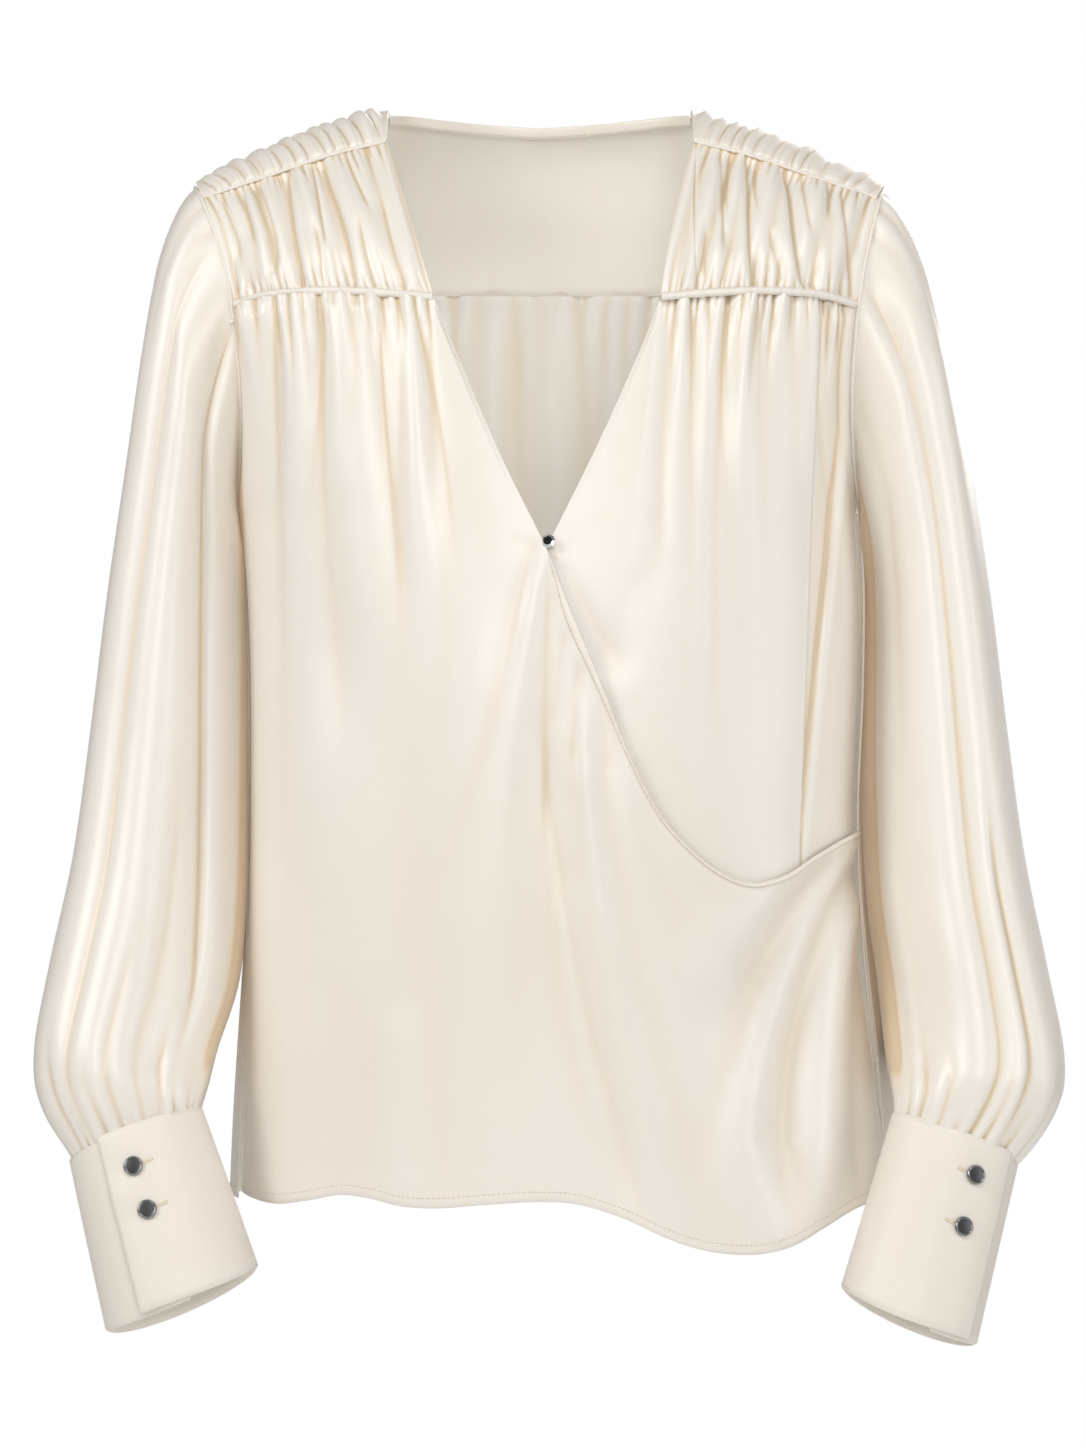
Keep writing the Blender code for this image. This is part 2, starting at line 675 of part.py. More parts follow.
def sleeve_point(side, turn, v):
    x_out, z_out, x_in, z_in, y_mid, half_depth = sleeve_ring(side, v)
    angle = radians(turn)
    across = cos(angle)
    x = mix(x_in, x_out, (across + 1) / 2)
    z = mix(z_in, z_out, (across + 1) / 2)
    skew = SLEEVE_SKEW[side] * (1 - across) / 2 * ease(v * 3) * ease((1 - v) * 3)
    z += half_depth * sin(angle) * SLEEVE_END_PITCH * ease((v - 0.55) / 0.4)
    ring = Vector((side * x, y_mid - half_depth * sin(angle) - skew, z))
    loop = armhole(turn, side) + Vector((side * ARMHOLE_STEP, 0, 0))
    end = cuff_ring(side, turn, -CUFF_SEAM_RISE, 0.3)
    return loop.lerp(ring, ease(v * 6)).lerp(end, ease((v - 0.80) / 0.20))


def sleeve_normal(side, turn, v):
    low, high = max(v - 0.02, 0), min(v + 0.02, 1)
    around = sleeve_point(side, turn + 4, v) - sleeve_point(side, turn - 4, v)
    down = sleeve_point(side, turn, high) - sleeve_point(side, turn, low)
    normal = around.cross(down).normalized()
    _, _, _, _, y_mid, _ = sleeve_ring(side, v)
    middle = (sleeve_point(side, 0, v) + sleeve_point(side, 180, v)) / 2
    outward = sleeve_point(side, turn, v) - Vector((middle.x, y_mid, middle.z))
    return normal if normal.dot(outward) > 0 else -normal


def sleeve_height(side, turn, v):
    height = 0.0
    for fold_turn, start, end, width, size in SLEEVE_FOLDS:
        away = (turn - fold_turn - side * 7 + 180) % 360 - 180
        fade = ease((v - start) / 0.18) * ease((end - v) / 0.16)
        height += size * fade * exp(-(away / width) ** 2)
    return height


def sleeve_rows(side):
    rows = []
    last_row = len(SLEEVE_COLUMN_COUNTS) - 1
    for k, count in enumerate(SLEEVE_COLUMN_COUNTS):
        v = k / last_row
        row = []
        for number in range(count):
            turn = 360 * number / count
            place = turn / 360 * SLEEVE_GATHERS
            index = int(place + 0.5) % SLEEVE_GATHERS
            reach = 30 + 30 * wobble(index, SEEDS["sleeve"])
            size = SLEEVE_GATHER_SIZE * (0.7 + 0.3 * wobble(index, SEEDS["sleeve"] + 1))
            height = sleeve_height(side, turn, v)
            height += size * cos(2 * pi * place) * exp(-(1 - v) * SLEEVE_LENGTH / reach)
            row.append(sleeve_point(side, turn, v) + sleeve_normal(side, turn, v) * height)
        rows.append(row)
    return rows


def cuff_frame(side, edge):
    x, y, z, half_width, half_depth, roll, pitch = CUFFS["right" if side < 0 else "left"][edge]
    across = Vector((cos(radians(roll)), 0, -sin(radians(roll))))
    depth = Vector((0, cos(radians(pitch)), -sin(radians(pitch))))
    return Vector((x, y, z)), across * half_width, depth * half_depth


def cuff_ring(side, turn, down, lift=0.0):
    """A point round the cuff's tube: turn 0 is its outer side and 90 its front."""
    angle = radians(turn)
    points = []
    for edge in ("top", "bottom"):
        middle, across, depth = cuff_frame(side, edge)
        grow = 1 + lift / ((across.length + depth.length) / 2)
        points.append(middle + (across * cos(angle) - depth * sin(angle)) * grow)
    point = points[0] + (points[1] - points[0]) * down
    return Vector((side * point.x, point.y, point.z))


def cuff_surface(side, turn, down):
    """Open band: its upper end lies lifted over its lower end, and flares at the bottom."""
    start = CUFF_EDGE_TURN["right" if side < 0 else "left"]
    along = turn - start
    flare = CUFF_FLAP_FLARE * ease(down) * (1 - ease(along / 50))
    lift = CUFF_FLAP_LIFT * (1 - ease(along / 80)) + flare
    return cuff_ring(side, turn, down, lift)


def cuff_rows(side):
    start = CUFF_EDGE_TURN["right" if side < 0 else "left"]
    sweep = 360 + CUFF_OVERLAP_TURN
    return [[cuff_surface(side, start + sweep * number / CUFF_SEGMENTS, down)
             for number in range(CUFF_SEGMENTS + 1)] for down in (0.0, 0.33, 0.67, 1.0)]


def edge_band_rows():
    """Turned edge of the overlap, from the button to the side seam, made from its points."""
    last = RIGHT_TOP_EDGE[-1][0]
    numbers = range(SEAM_COLUMNS + 9, last)
    rows = []
    for inner in (False, True):
        row = []
        for number in numbers:
            along = (number - numbers[0]) / (numbers[-1] - numbers[0])
            width = mix(*EDGE_BAND_WIDTHS, ease(along * 2.6))
            _, top_z = edge_reader(RIGHT_TOP_EDGE, -1)(number)
            drop = width * mix(2.2, 1.0, ease((number - 78) / 14))
            share = drop / (top_z + 600) if inner else 0.0
            lift = TRIM_WALL + 2 * SEAM_GAP
            row.append(front_point(-1, number, last, RIGHT_TOP_EDGE, share, lift))
        rows.append(row)
    return rows


def material(name, colour, roughness, metallic=0.0):
    found = bpy.data.materials.new(name)
    found.use_nodes = True
    shader = found.node_tree.nodes["Principled BSDF"]
    shader.inputs["Base Color"].default_value = colour
    shader.inputs["Roughness"].default_value = roughness
    shader.inputs["Metallic"].default_value = metallic
    return found


def add_object(name, data, colour, roughness, metallic=0.0):
    made = bpy.data.objects.new(name, data)
    made.data.materials.append(material(name + "_finish", colour, roughness, metallic))
    bpy.data.collections[COLLECTION].objects.link(made)
    return made


def cloth(name, rows, axis, closed=False, wall=WALL, colour=IVORY):
    """Surface through the rows, where a row may have half as many columns as the last one.

    The wall goes inwards, towards the axis: a pair of points inside the piece.
    """
    mesh = bmesh.new()
    grid = [[mesh.verts.new(point * MM) for point in row] for row in rows]
    for upper, lower in zip(grid, grid[1:]):
        upper_count = len(upper) if closed else len(upper) - 1
        lower_count = len(lower) if closed else len(lower) - 1
        flipped = upper_count < lower_count
        many, few = (lower, upper) if flipped else (upper, lower)
        ratio = max(upper_count, lower_count) // min(upper_count, lower_count)
        faces = []
        for k in range(min(upper_count, lower_count)):
            a0, a1 = few[k], few[(k + 1) % len(few)]
            b = [many[(k * ratio + j) % len(many)] for j in range(ratio + 1)]
            if ratio == 1:
                faces.append((b[0], b[1], a1, a0))
            else:
                faces += [(b[0], b[1], a0), (b[1], a1, a0), (b[1], b[2], a1)]
        for face in faces:
            mesh.faces.new(reversed(face) if flipped else face)
    mesh.normal_update()
    start, end = (point * MM for point in axis)
    facing = 0.0
    for face in mesh.faces:
        centre = face.calc_center_median()
        share = (centre - start).dot(end - start) / (end - start).length_squared
        facing += face.normal.dot(centre - start.lerp(end, share)) * face.calc_area()
    if facing < 0:
        bmesh.ops.reverse_faces(mesh, faces=mesh.faces)
    data = bpy.data.meshes.new(name)
    mesh.to_mesh(data)
    mesh.free()
    data.shade_smooth()
    made = add_object(name, data, colour, 0.38)
    solidify = made.modifiers.new("wall", "SOLIDIFY")
    solidify.thickness = wall * MM
    solidify.offset = -1.0
    return made


def cord(name, points, radius, colour=IVORY):
    curve = bpy.data.curves.new(name, "CURVE")
    curve.dimensions = "3D"
    curve.bevel_depth = radius * MM
    curve.bevel_resolution = 1
    curve.use_fill_caps = True
    spline = curve.splines.new("POLY")
    spline.points.add(len(points) - 1)
    for slot, point in zip(spline.points, points):
        slot.co = (*(point * MM), 1.0)
    return add_object(name, curve, colour, 0.38)


def button(name, place, facing, radius, thick):
    """Flat disc in a bevelled rim, turned to face along a direction."""
    mesh = bmesh.new()
    bmesh.ops.create_cone(mesh, cap_ends=True, segments=14, radius1=radius * MM,
                          radius2=radius * MM, depth=thick * MM)
    rim = [edge for edge in mesh.edges if all(v.co.z > 0 for v in edge.verts)]
    bmesh.ops.bevel(mesh, geom=rim, offset=thick * 0.33 * MM, segments=1, affect="EDGES")
    turn = facing.to_track_quat("Z", "Y").to_matrix().to_4x4()
    bmesh.ops.transform(mesh, verts=mesh.verts, matrix=Matrix.Translation(place * MM) @ turn)
    data = bpy.data.meshes.new(name)
    mesh.to_mesh(data)
    mesh.free()
    return add_object(name, data, METAL, 0.12, 1.0)


def make_sides():
    for side, word in ((-1, "right"), (1, "left")):
        yoke_axis = Vector((side * 40, 30, -90)), Vector((side * 220, 30, -120))
        cloth("front_yoke_" + word, front_yoke_rows(side), yoke_axis)
        cloth("shoulder_band_" + word, band_rows(side), yoke_axis)
        seam = [yoke_seam(share, side) for share in np.linspace(0.012, 0.995, 13)]
        cord("yoke_piping_" + word, seam, PIPING_RADIUS)
        x_in, x_out = SLEEVE_AXIS_X
        sleeve_axis = Vector((side * x_in, 0, -130)), Vector((side * x_out, -30, -520))
        cloth("sleeve_" + word, sleeve_rows(side), sleeve_axis, closed=True)
        cuff_axis = [Vector((side * middle.x, middle.y, middle.z))
                     for middle in (cuff_frame(side, edge)[0] for edge in ("top", "bottom"))]
        cloth("cuff_" + word, cuff_rows(side), cuff_axis)
        for k, (turn, down) in enumerate(CUFF_BUTTONS[word], start=1):
            around = cuff_surface(side, turn + 5, down) - cuff_surface(side, turn - 5, down)
            along = cuff_surface(side, turn, down + 0.05) - cuff_surface(side, turn, down - 0.05)
            facing = around.cross(along).normalized()
            facing = facing if facing.y < 0 else -facing
            place = cuff_surface(side, turn, down) + facing * (BUTTON_THICK / 2 + SEAM_GAP)
            button(f"cuff_button_{word}_{k}", place, facing, BUTTON_RADIUS, BUTTON_THICK)


def make_body():
    middle = Vector((0, 0, -100)), Vector((0, 0, -600))
    cloth("front_right", front_rows(-1, RIGHT_TOP_EDGE), middle)
    cloth("front_left", front_rows(1, LEFT_TOP_EDGE), middle)
    cloth("back_lower", back_rows(), middle, colour=IVORY_SHADE)
    cloth("back_yoke", back_yoke_rows(), middle, colour=IVORY_SHADE)
    cloth("neck_binding", neck_binding_rows(), middle, wall=TRIM_WALL)
    cloth("edge_band", edge_band_rows(), middle, wall=TRIM_WALL)
    x, z = FRONT_BUTTON_PLACE
    q = ring_place(x, z, -1)
    facing = body_normal(q, z, -1)
    seat = left_front_height(x, z) + 2 * SEAM_GAP + FRONT_BUTTON_THICK / 2
    place = body_point(q, z, -1) + facing * seat
    button("front_button", place, facing, FRONT_BUTTON_RADIUS, FRONT_BUTTON_THICK)


def main():
    for old in list(bpy.data.objects):
        bpy.data.objects.remove(old, do_unlink=True)
    bpy.context.scene.collection.children.link(bpy.data.collections.new(COLLECTION))
    make_body()
    make_sides()


main()
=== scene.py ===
# %% [markdown]
# # A wrap top in ivory satin
#
# The top is a blouse with two crossed fronts, gathered yokes, ruched shoulder bands, full
# sleeves and deep cuffs. It is shown as it is worn, with no wearer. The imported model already
# holds each piece of cloth as a plain solid with its main folds. This lesson replaces each of
# them with a finer piece of cloth, and then adds the stitches, cords, buttons and finishes.
#
# Lengths in the tables are millimetres. +Z is up, the front faces -Y and +X is the wearer's
# left. The origin is the middle of the line across the shoulders.

import bmesh
import bpy
import numpy as np
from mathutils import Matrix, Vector


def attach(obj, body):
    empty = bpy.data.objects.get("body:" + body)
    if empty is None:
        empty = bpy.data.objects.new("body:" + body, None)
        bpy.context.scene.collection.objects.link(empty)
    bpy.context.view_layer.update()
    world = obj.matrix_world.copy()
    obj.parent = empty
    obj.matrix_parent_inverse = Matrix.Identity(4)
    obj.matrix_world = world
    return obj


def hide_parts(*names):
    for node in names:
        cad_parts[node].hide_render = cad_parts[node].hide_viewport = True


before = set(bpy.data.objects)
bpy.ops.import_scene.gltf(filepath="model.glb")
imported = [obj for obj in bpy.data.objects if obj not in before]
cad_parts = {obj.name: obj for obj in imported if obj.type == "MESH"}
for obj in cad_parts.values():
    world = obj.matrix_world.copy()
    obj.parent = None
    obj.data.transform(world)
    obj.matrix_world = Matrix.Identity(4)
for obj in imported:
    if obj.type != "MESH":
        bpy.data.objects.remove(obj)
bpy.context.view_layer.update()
MM = 0.001

# %% [markdown]
# ## Camera
#
# A long lens a few metres away keeps the garment's proportions. The camera is level and looks
# along +Y. A sensor of 36 mm on the long side and the distance give the lens: the frame is
# 825 mm tall at the garment's middle.

# %% Camera
CAMERA_DISTANCE = 3.2
CAMERA_AIM = (0.0017, 0.0, -0.327)
FRAME_HEIGHT = 0.8254
SENSOR = 36.0


def show(name, data):
    """A new object in the scene."""
    shown = bpy.data.objects.new(name, data)
    bpy.context.scene.collection.objects.link(shown)
    return shown


camera = show("camera", bpy.data.cameras.new("camera"))
camera.data.sensor_width = SENSOR
camera.data.lens = SENSOR * CAMERA_DISTANCE / FRAME_HEIGHT
camera.location = Vector(CAMERA_AIM) - Vector((0, CAMERA_DISTANCE, 0))
camera.rotation_euler = (np.pi / 2, 0, 0)
bpy.context.scene.camera = camera
print(f"lens {camera.data.lens:.1f} mm")

# %% [markdown]
# ## Studio
#
# Satin is all about what it reflects. A bright, even room gives the flat ivory, and large soft
# lamps give each fold a broad light side: a key from the upper left, a weaker one from the
# right, and two from the front. A lamp behind keeps the back lit, and a very weak one inside
# the neck lifts the shade there. The room's light is dimmer than the white that the camera
# sees behind the garment, so that the folds keep their shape. The floor lies where the
# wearer's feet would stand.

# %% Studio
LAMPS = [
    # name, place, width, height, watts, colour
    ("key", (-2.4, -1.9, 1.1), 1.0, 1.4, 36, (1.0, 0.99, 0.98)),
    ("front", (0.3, -3.2, 0.5), 1.3, 1.3, 22, (1.0, 0.99, 0.98)),
    ("high", (0.1, -1.8, 1.7), 1.2, 0.9, 17.5, (1.0, 0.985, 0.965)),
    ("fill", (2.5, -1.4, -0.1), 0.9, 2.0, 14, (0.99, 0.99, 1.0)),
    ("rim", (0.9, 2.0, 0.7), 1.4, 1.4, 34, (1.0, 1.0, 1.0)),
]
LAMP_AIM = (0, 0, -0.3)
INNER_LAMP = ("inner", (0, -0.045, -0.280), 0.16, 0.06, 0.026, (1.0, 0.99, 0.98))
INNER_AIM = (0, 0.070, -0.05)
INNER_SPREAD = 1.2
ROOM_LIGHT, ROOM_COLOUR = 0.27, (1.0, 0.970, 0.910, 1.0)
ROOM_SHOWN, SHOWN_COLOUR = 1.0, (1.0, 1.0, 1.0, 1.0)
FLOOR_Z = -1.36
FLOOR_RADIUS = 3.8
FLOOR_COLOUR = (0.93, 0.93, 0.92, 1.0)


def node(tree, kind, **values):
    """A new node with some of its inputs or settings filled in."""
    added = tree.nodes.new(kind)
    for key, value in values.items():
        if key in added.inputs:
            added.inputs[key].default_value = value
        else:
            setattr(added, key, value)
    return added


def join_up(tree, *pairs):
    for output, target in pairs:
        tree.links.new(output, target)


def studio_world():
    world = bpy.data.worlds.new("studio")
    world.use_nodes = True
    tree = world.node_tree
    tree.nodes.clear()
    out, blend, path = (node(tree, "ShaderNode" + kind)
                        for kind in ("OutputWorld", "MixShader", "LightPath"))
    room, shown = (node(tree, "ShaderNodeBackground", Color=colour, Strength=strength)
                   for strength, colour in ((ROOM_LIGHT, ROOM_COLOUR), (ROOM_SHOWN, SHOWN_COLOUR)))
    join_up(tree, (path.outputs["Is Camera Ray"], blend.inputs[0]),
            (room.outputs[0], blend.inputs[1]), (shown.outputs[0], blend.inputs[2]),
            (blend.outputs[0], out.inputs["Surface"]))
    bpy.context.scene.world = world


def lamp(name, place, width, height, watts, colour, aim=LAMP_AIM):
    data = bpy.data.lights.new(name, "AREA")
    data.shape = "RECTANGLE"
    data.size, data.size_y = width, height
    data.energy = watts
    data.color = colour
    hung = show(name, data)
    hung.location = place
    towards = Vector(aim) - Vector(place)
    hung.rotation_euler = towards.to_track_quat("-Z", "Y").to_euler()
    return hung


studio_world()
for row in LAMPS:
    lamp(*row)
inner_lamp = lamp(*INNER_LAMP, INNER_AIM)
inner_lamp.visible_camera = False
inner_lamp.data.spread = INNER_SPREAD
bpy.context.scene.view_settings.view_transform = "Standard"
print("lamps:", [row[0] for row in LAMPS])

# %% Floor
def new_finish(name, **settings):
    """A material with some of its shader's inputs filled in; "_" stands for a space."""
    finish = bpy.data.materials.new(name)
    finish.use_nodes = True
    shader = finish.node_tree.nodes["Principled BSDF"]
    for label, value in settings.items():
        shader.inputs[label.replace("_", " ")].default_value = value
    return finish, finish.node_tree, shader


floor_mesh = bmesh.new()
bmesh.ops.create_circle(floor_mesh, cap_ends=True, segments=96, radius=FLOOR_RADIUS)
floor_data = bpy.data.meshes.new("floor")
floor_mesh.to_mesh(floor_data)
floor_mesh.free()
floor = show("floor", floor_data)
floor.location.z = FLOOR_Z
floor_finish, _, _ = new_finish("pale_floor", Base_Color=FLOOR_COLOUR, Roughness=0.9)
floor_data.materials.append(floor_finish)
print("floor at", FLOOR_Z, "m")

# %% [markdown]
# ## Finishes
#
# Satin has long floats of thread on its face, so it is smooth along them and shines in broad
# soft bands. Its back is duller and a little greyer. Up close both show a fine slanting
# grain. The grain is a wave texture in the cloth's own flat coordinates, in metres, so that
# it keeps its scale and follows every fold, and a weak noise adds the small unevenness of
# handled cloth. A very slow noise warms and cools the colour from place to place. Light that
# gets into a fold is coloured by every bounce, so satin goes tan in its valleys and almost
# white on its crests. This shade is painted into the colour. Each piece carries an attribute,
# from 0 on a crest to 1 in a valley, and a second colour ramp turns it into painted shade, tan
# in the valleys, and a painted highlight, almost white, on the crests. Where two pieces lie
# close beside each other the light bounces many times between them and through the thin
# cloth. The attribute named "bounce" marks these places. The painted shade is deeper there,
# and the finish gives them a faint warm glow, which is painted light made by emission.
# The cuffs are of the same satin, a little darker and duller.

# %% Satin
SATIN_FACE = (0.868, 0.822, 0.758)
# the cuffs' satin: a little darker than the face
SATIN_CUFF_DARKER = (0.838, 0.786, 0.712)
SATIN_BACK = (0.955, 0.930, 0.875)
GRAIN_PITCH = 0.0011
GRAIN_DEPTH = 0.00003
GRAIN_SLANT = 1.05
CRINKLE_SCALE = 420.0
CRINKLE_DEPTH = 0.00005
# painted glow: a warm emission where pieces lie close, standing in for light bounced between them
BOUNCE_COLOUR = (1.0, 0.78, 0.56, 1.0)
BOUNCE_LIGHT = 0.11
SLOW_TONES = [
    # place on the ramp and the factor on the colour
    (0.35, (0.975, 0.967, 0.950)), (0.65, (1.012, 1.014, 1.024))]
# painted shade in the folds, tan in the valleys, and a painted highlight on the crests
FOLD_SHADE_TINTS = [
    (0.06, (1.030, 1.042, 1.070)), (0.46, (1.0, 1.0, 1.0)), (0.70, (0.975, 0.950, 0.905)),
    (0.88, (0.910, 0.835, 0.715)), (1.0, (0.78, 0.67, 0.51))]


def ramp(tree, stops, colour=(1.0, 1.0, 1.0), brightest=np.inf):
    """A colour ramp: each stop has a place and a factor on the colour."""
    added = node(tree, "ShaderNodeValToRGB")
    for _ in stops[2:]:
        added.color_ramp.elements.new(0.5)
    for stop, (position, factors) in zip(added.color_ramp.elements, stops):
        stop.position = position
        stop.color = (*(min(c * f, brightest) for c, f in zip(colour, factors)), 1.0)
    return added


def times(tree, value):
    """A node that multiplies by a value."""
    added = node(tree, "ShaderNodeMath", operation="MULTIPLY")
    added.inputs[1].default_value = value
    return added


def satin(name, colour, roughness, sheen):
    finish, tree, shader = new_finish(
        name, Roughness=roughness, Sheen_Weight=sheen, Sheen_Roughness=0.35,
        Specular_IOR_Level=0.72, Anisotropic=0.35, Emission_Color=BOUNCE_COLOUR)
    place = node(tree, "ShaderNodeUVMap", uv_map="cloth")
    slow = node(tree, "ShaderNodeTexNoise", Scale=5.0, Detail=2.0)
    tones = ramp(tree, SLOW_TONES, colour, 1.0)
    # the painted fold shade and, below, the painted glow, both read from attributes of the cloth
    fold_shade = node(tree, "ShaderNodeAttribute", attribute_name="fold_shade")
    fold_shade_ramp = ramp(tree, FOLD_SHADE_TINTS)
    shaded_colour = node(tree, "ShaderNodeMix", data_type="RGBA", blend_type="MULTIPLY")
    shaded_colour.inputs[0].default_value = 1.0
    bounce = node(tree, "ShaderNodeAttribute", attribute_name="bounce")
    glow = times(tree, BOUNCE_LIGHT)
    turned = node(tree, "ShaderNodeMapping", Rotation=(0, 0, GRAIN_SLANT))
    weave = node(tree, "ShaderNodeTexWave", Scale=1 / GRAIN_PITCH / 6.283, Distortion=1.5, Detail=1.0)
    crinkle = node(tree, "ShaderNodeTexNoise", Scale=CRINKLE_SCALE, Detail=3.0)
    grain_bump = node(tree, "ShaderNodeBump", Strength=0.6, Distance=GRAIN_DEPTH)
    crinkle_bump = node(tree, "ShaderNodeBump", Strength=0.6, Distance=CRINKLE_DEPTH)
    join_up(tree, (place.outputs[0], slow.inputs["Vector"]), (slow.outputs["Fac"], tones.inputs["Fac"]),
            (fold_shade.outputs["Fac"], fold_shade_ramp.inputs["Fac"]), (tones.outputs["Color"], shaded_colour.inputs[6]),
            (fold_shade_ramp.outputs["Color"], shaded_colour.inputs[7]), (shaded_colour.outputs[2], shader.inputs["Base Color"]),
            (bounce.outputs["Fac"], glow.inputs[0]), (glow.outputs[0], shader.inputs["Emission Strength"]),
            (place.outputs[0], turned.inputs["Vector"]), (turned.outputs[0], weave.inputs["Vector"]),
            (place.outputs[0], crinkle.inputs["Vector"]),
            (weave.outputs["Fac"], grain_bump.inputs["Height"]),
            (crinkle.outputs["Fac"], crinkle_bump.inputs["Height"]),
            (grain_bump.outputs[0], crinkle_bump.inputs["Normal"]),
            (crinkle_bump.outputs[0], shader.inputs["Normal"]))
    return finish


face_finish = satin("satin_face", SATIN_FACE, 0.33, 0.25)
back_finish = satin("satin_back", SATIN_BACK, 0.62, 0.10)
cuff_finish = satin("satin_cuff_darker", SATIN_CUFF_DARKER, 0.46, 0.20)
print("cloth finishes:", face_finish.name, back_finish.name, cuff_finish.name)

# %% [markdown]
# The thread is spun polyester in the same ivory, a little duller than the satin. The buttons
# are polished steel: a bright rim round a dark, almost mirror-like face. The small button at
# the crossing is a dark cut stone.

# %% Thread, metal and stone
DARK_TONE, LIGHT_TONE = 0.9, 1.08


def plain_finish(name, colour, roughness, metallic, bump_scale, bump_depth):
    finish, tree, shader = new_finish(name, Roughness=roughness, Metallic=metallic)
    place = node(tree, "ShaderNodeTexCoord")
    tones = ramp(tree, [(0.0, (DARK_TONE,) * 3), (1.0, (LIGHT_TONE,) * 3)], colour, 1.0)
    noise = node(tree, "ShaderNodeTexNoise", Scale=bump_scale, Detail=2.0)
    bump = node(tree, "ShaderNodeBump", Strength=0.5, Distance=bump_depth)
    join_up(tree, (place.outputs["Object"], noise.inputs["Vector"]),
            (noise.outputs["Fac"], tones.inputs["Fac"]),
            (tones.outputs["Color"], shader.inputs["Base Color"]),
            (noise.outputs["Fac"], bump.inputs["Height"]), (bump.outputs[0], shader.inputs["Normal"]))
    return finish


thread_finish = plain_finish("thread", (0.78, 0.69, 0.55), 0.65, 0.0, 2500.0, 0.00004)
rim_finish = plain_finish("polished_rim", (0.30, 0.30, 0.31), 0.15, 1.0, 300.0, 0.000004)
disc_finish = plain_finish("dark_mirror", (0.105, 0.105, 0.110), 0.32, 1.0, 500.0, 0.000004)
stone_finish = plain_finish("cut_stone", (0.010, 0.010, 0.012), 0.10, 0.0, 200.0, 0.000002)
claw_finish = plain_finish("stone_setting", (0.66, 0.66, 0.67), 0.12, 1.0, 300.0, 0.000003)
print("small finishes made: 5")

# %% [markdown]
# ## The pattern's tables
#
# Each seam and edge is a short table of measured places, and a smooth curve runs through
# them. Whole arrays are read at once, so that a piece of cloth with fifty thousand points
# takes a moment.

# %% Reading tables
def table(columns, rows):
    """A table as one array for each named column."""
    return dict(zip(columns.split(), np.array(rows, float).T))


def curve(places, values, at):
    """Smooth curve through (places, values), read at many places."""
    order = np.argsort(places)
    places, values = np.asarray(places)[order], np.asarray(values)[order]
    slopes = np.gradient(values, places)
    at = np.clip(at, places[0], places[-1])
    k = np.clip(np.searchsorted(places, at, side="right") - 1, 0, len(places) - 2)
    span = places[k + 1] - places[k]
    t = (at - places[k]) / span
    t2, t3 = t * t, t * t * t
    return ((2 * t3 - 3 * t2 + 1) * values[k] + (t3 - 2 * t2 + t) * span * slopes[k]
            + (3 * t2 - 2 * t3) * values[k + 1] + (t3 - t2) * span * slopes[k + 1])


def read(rows, along, names, at):
    """Some columns of a table, as smooth curves along another of its columns."""
    return [curve(rows[along], rows[name], at) for name in names.split()]


def ease(t):
    t = np.clip(t, 0.0, 1.0)
    return t * t * (3 - 2 * t)


def mix(a, b, t):
    return a + (b - a) * t


def unit(vectors):
    return vectors / np.maximum(np.linalg.norm(vectors, axis=-1, keepdims=True), 1e-12)


def points(x, y, z):
    return np.stack(np.broadcast_arrays(x, y, z), -1).astype(float)


def unit_square(columns, rows):
    """Shares across and down a grid, both from 0 to 1."""
    return np.meshgrid(np.linspace(0, 1, columns), np.linspace(0, 1, rows))


def wobble(index, salt):
    """A repeatable number from 0 to 1 for each whole number."""
    return np.mod(np.sin(index * 12.9898 + salt * 78.233) * 43758.5453, 1.0)


def drift(at, salt):
    """A slow, smooth, repeatable wandering from -1 to 1."""
    low = np.floor(at)
    t = ease(at - low)
    return 2 * mix(wobble(low, salt), wobble(low + 1, salt), t) - 1


print("curve through 0 1 4 read at 1.5:", round(float(curve([0, 1, 2], [0, 1, 4], 1.5)), 3))

# %% Body, armholes and seams
WORDS = {-1: "right", 1: "left"}
SEAM_GAP = 0.3
LAYER_GAP = 3.4
UNDERLAP_HEM_RISE = 14.0
BODY_POWER = 2.25
BODY = table("z x_right x_left y_front y_back", [
    (-70, 171, 180, -84, 98), (-140, 169, 180, -98, 106), (-205, 171, 181, -109, 110),
    (-240, 168, 184, -112, 110), (-300, 166, 184, -114, 110), (-390, 166, 181, -114, 108),
    (-450, 167, 184, -112, 109), (-520, 168, 191, -110, 111), (-630, 171, 204, -108, 114)])
ARMHOLE = table("turn x_right x_left y z", [
    (0, 196, 196, 5, -21), (25, 191, 192, -23, -29), (60, 178, 183, -43, -62),
    (90, 172, 178, -50, -92), (115, 168, 175, -45, -128), (145, 168, 176, -28, -172),
    (180, 172, 181, 0, -205), (215, 169, 177, 30, -172), (245, 168, 173, 50, -122),
    (270, 172, 175, 57, -75), (300, 180, 181, 49, -52), (335, 190, 190, 30, -28),
    (360, 196, 196, 5, -21)])
FRONT_BAND_TURN, FRONT_YOKE_TURN, BACK_YOKE_TURN, BACK_BAND_TURN = 25, 90, 270, 335
SHOULDER = table("share x y_front z_front z_ridge y_back z_back", [
    (0.00, 191, -23, -29, -18, 30, -28), (0.35, 154, -26, -17, 1, 32, -14),
    (0.70, 118, -26, -5, 14, 32, 3), (1.00, 87, -23, 3, 24, 30, 23)])
RIDGE_Y, RIDGE_OVERHANG = 5.0, 5.0
BACK_NECK = table("x y z", [
    (87, 30, 23), (78, 42, 24), (58, 54, 23), (30, 63, 21), (0, 66, 19.5)])
YOKE_SEAM = table("share x y z", [
    (0.00, 172, -50, -92), (0.14, 156, -61, -88), (0.35, 133, -71, -86),
    (0.55, 110, -77, -86), (0.80, 80, -82, -88), (1.00, 59, -84, -90)])
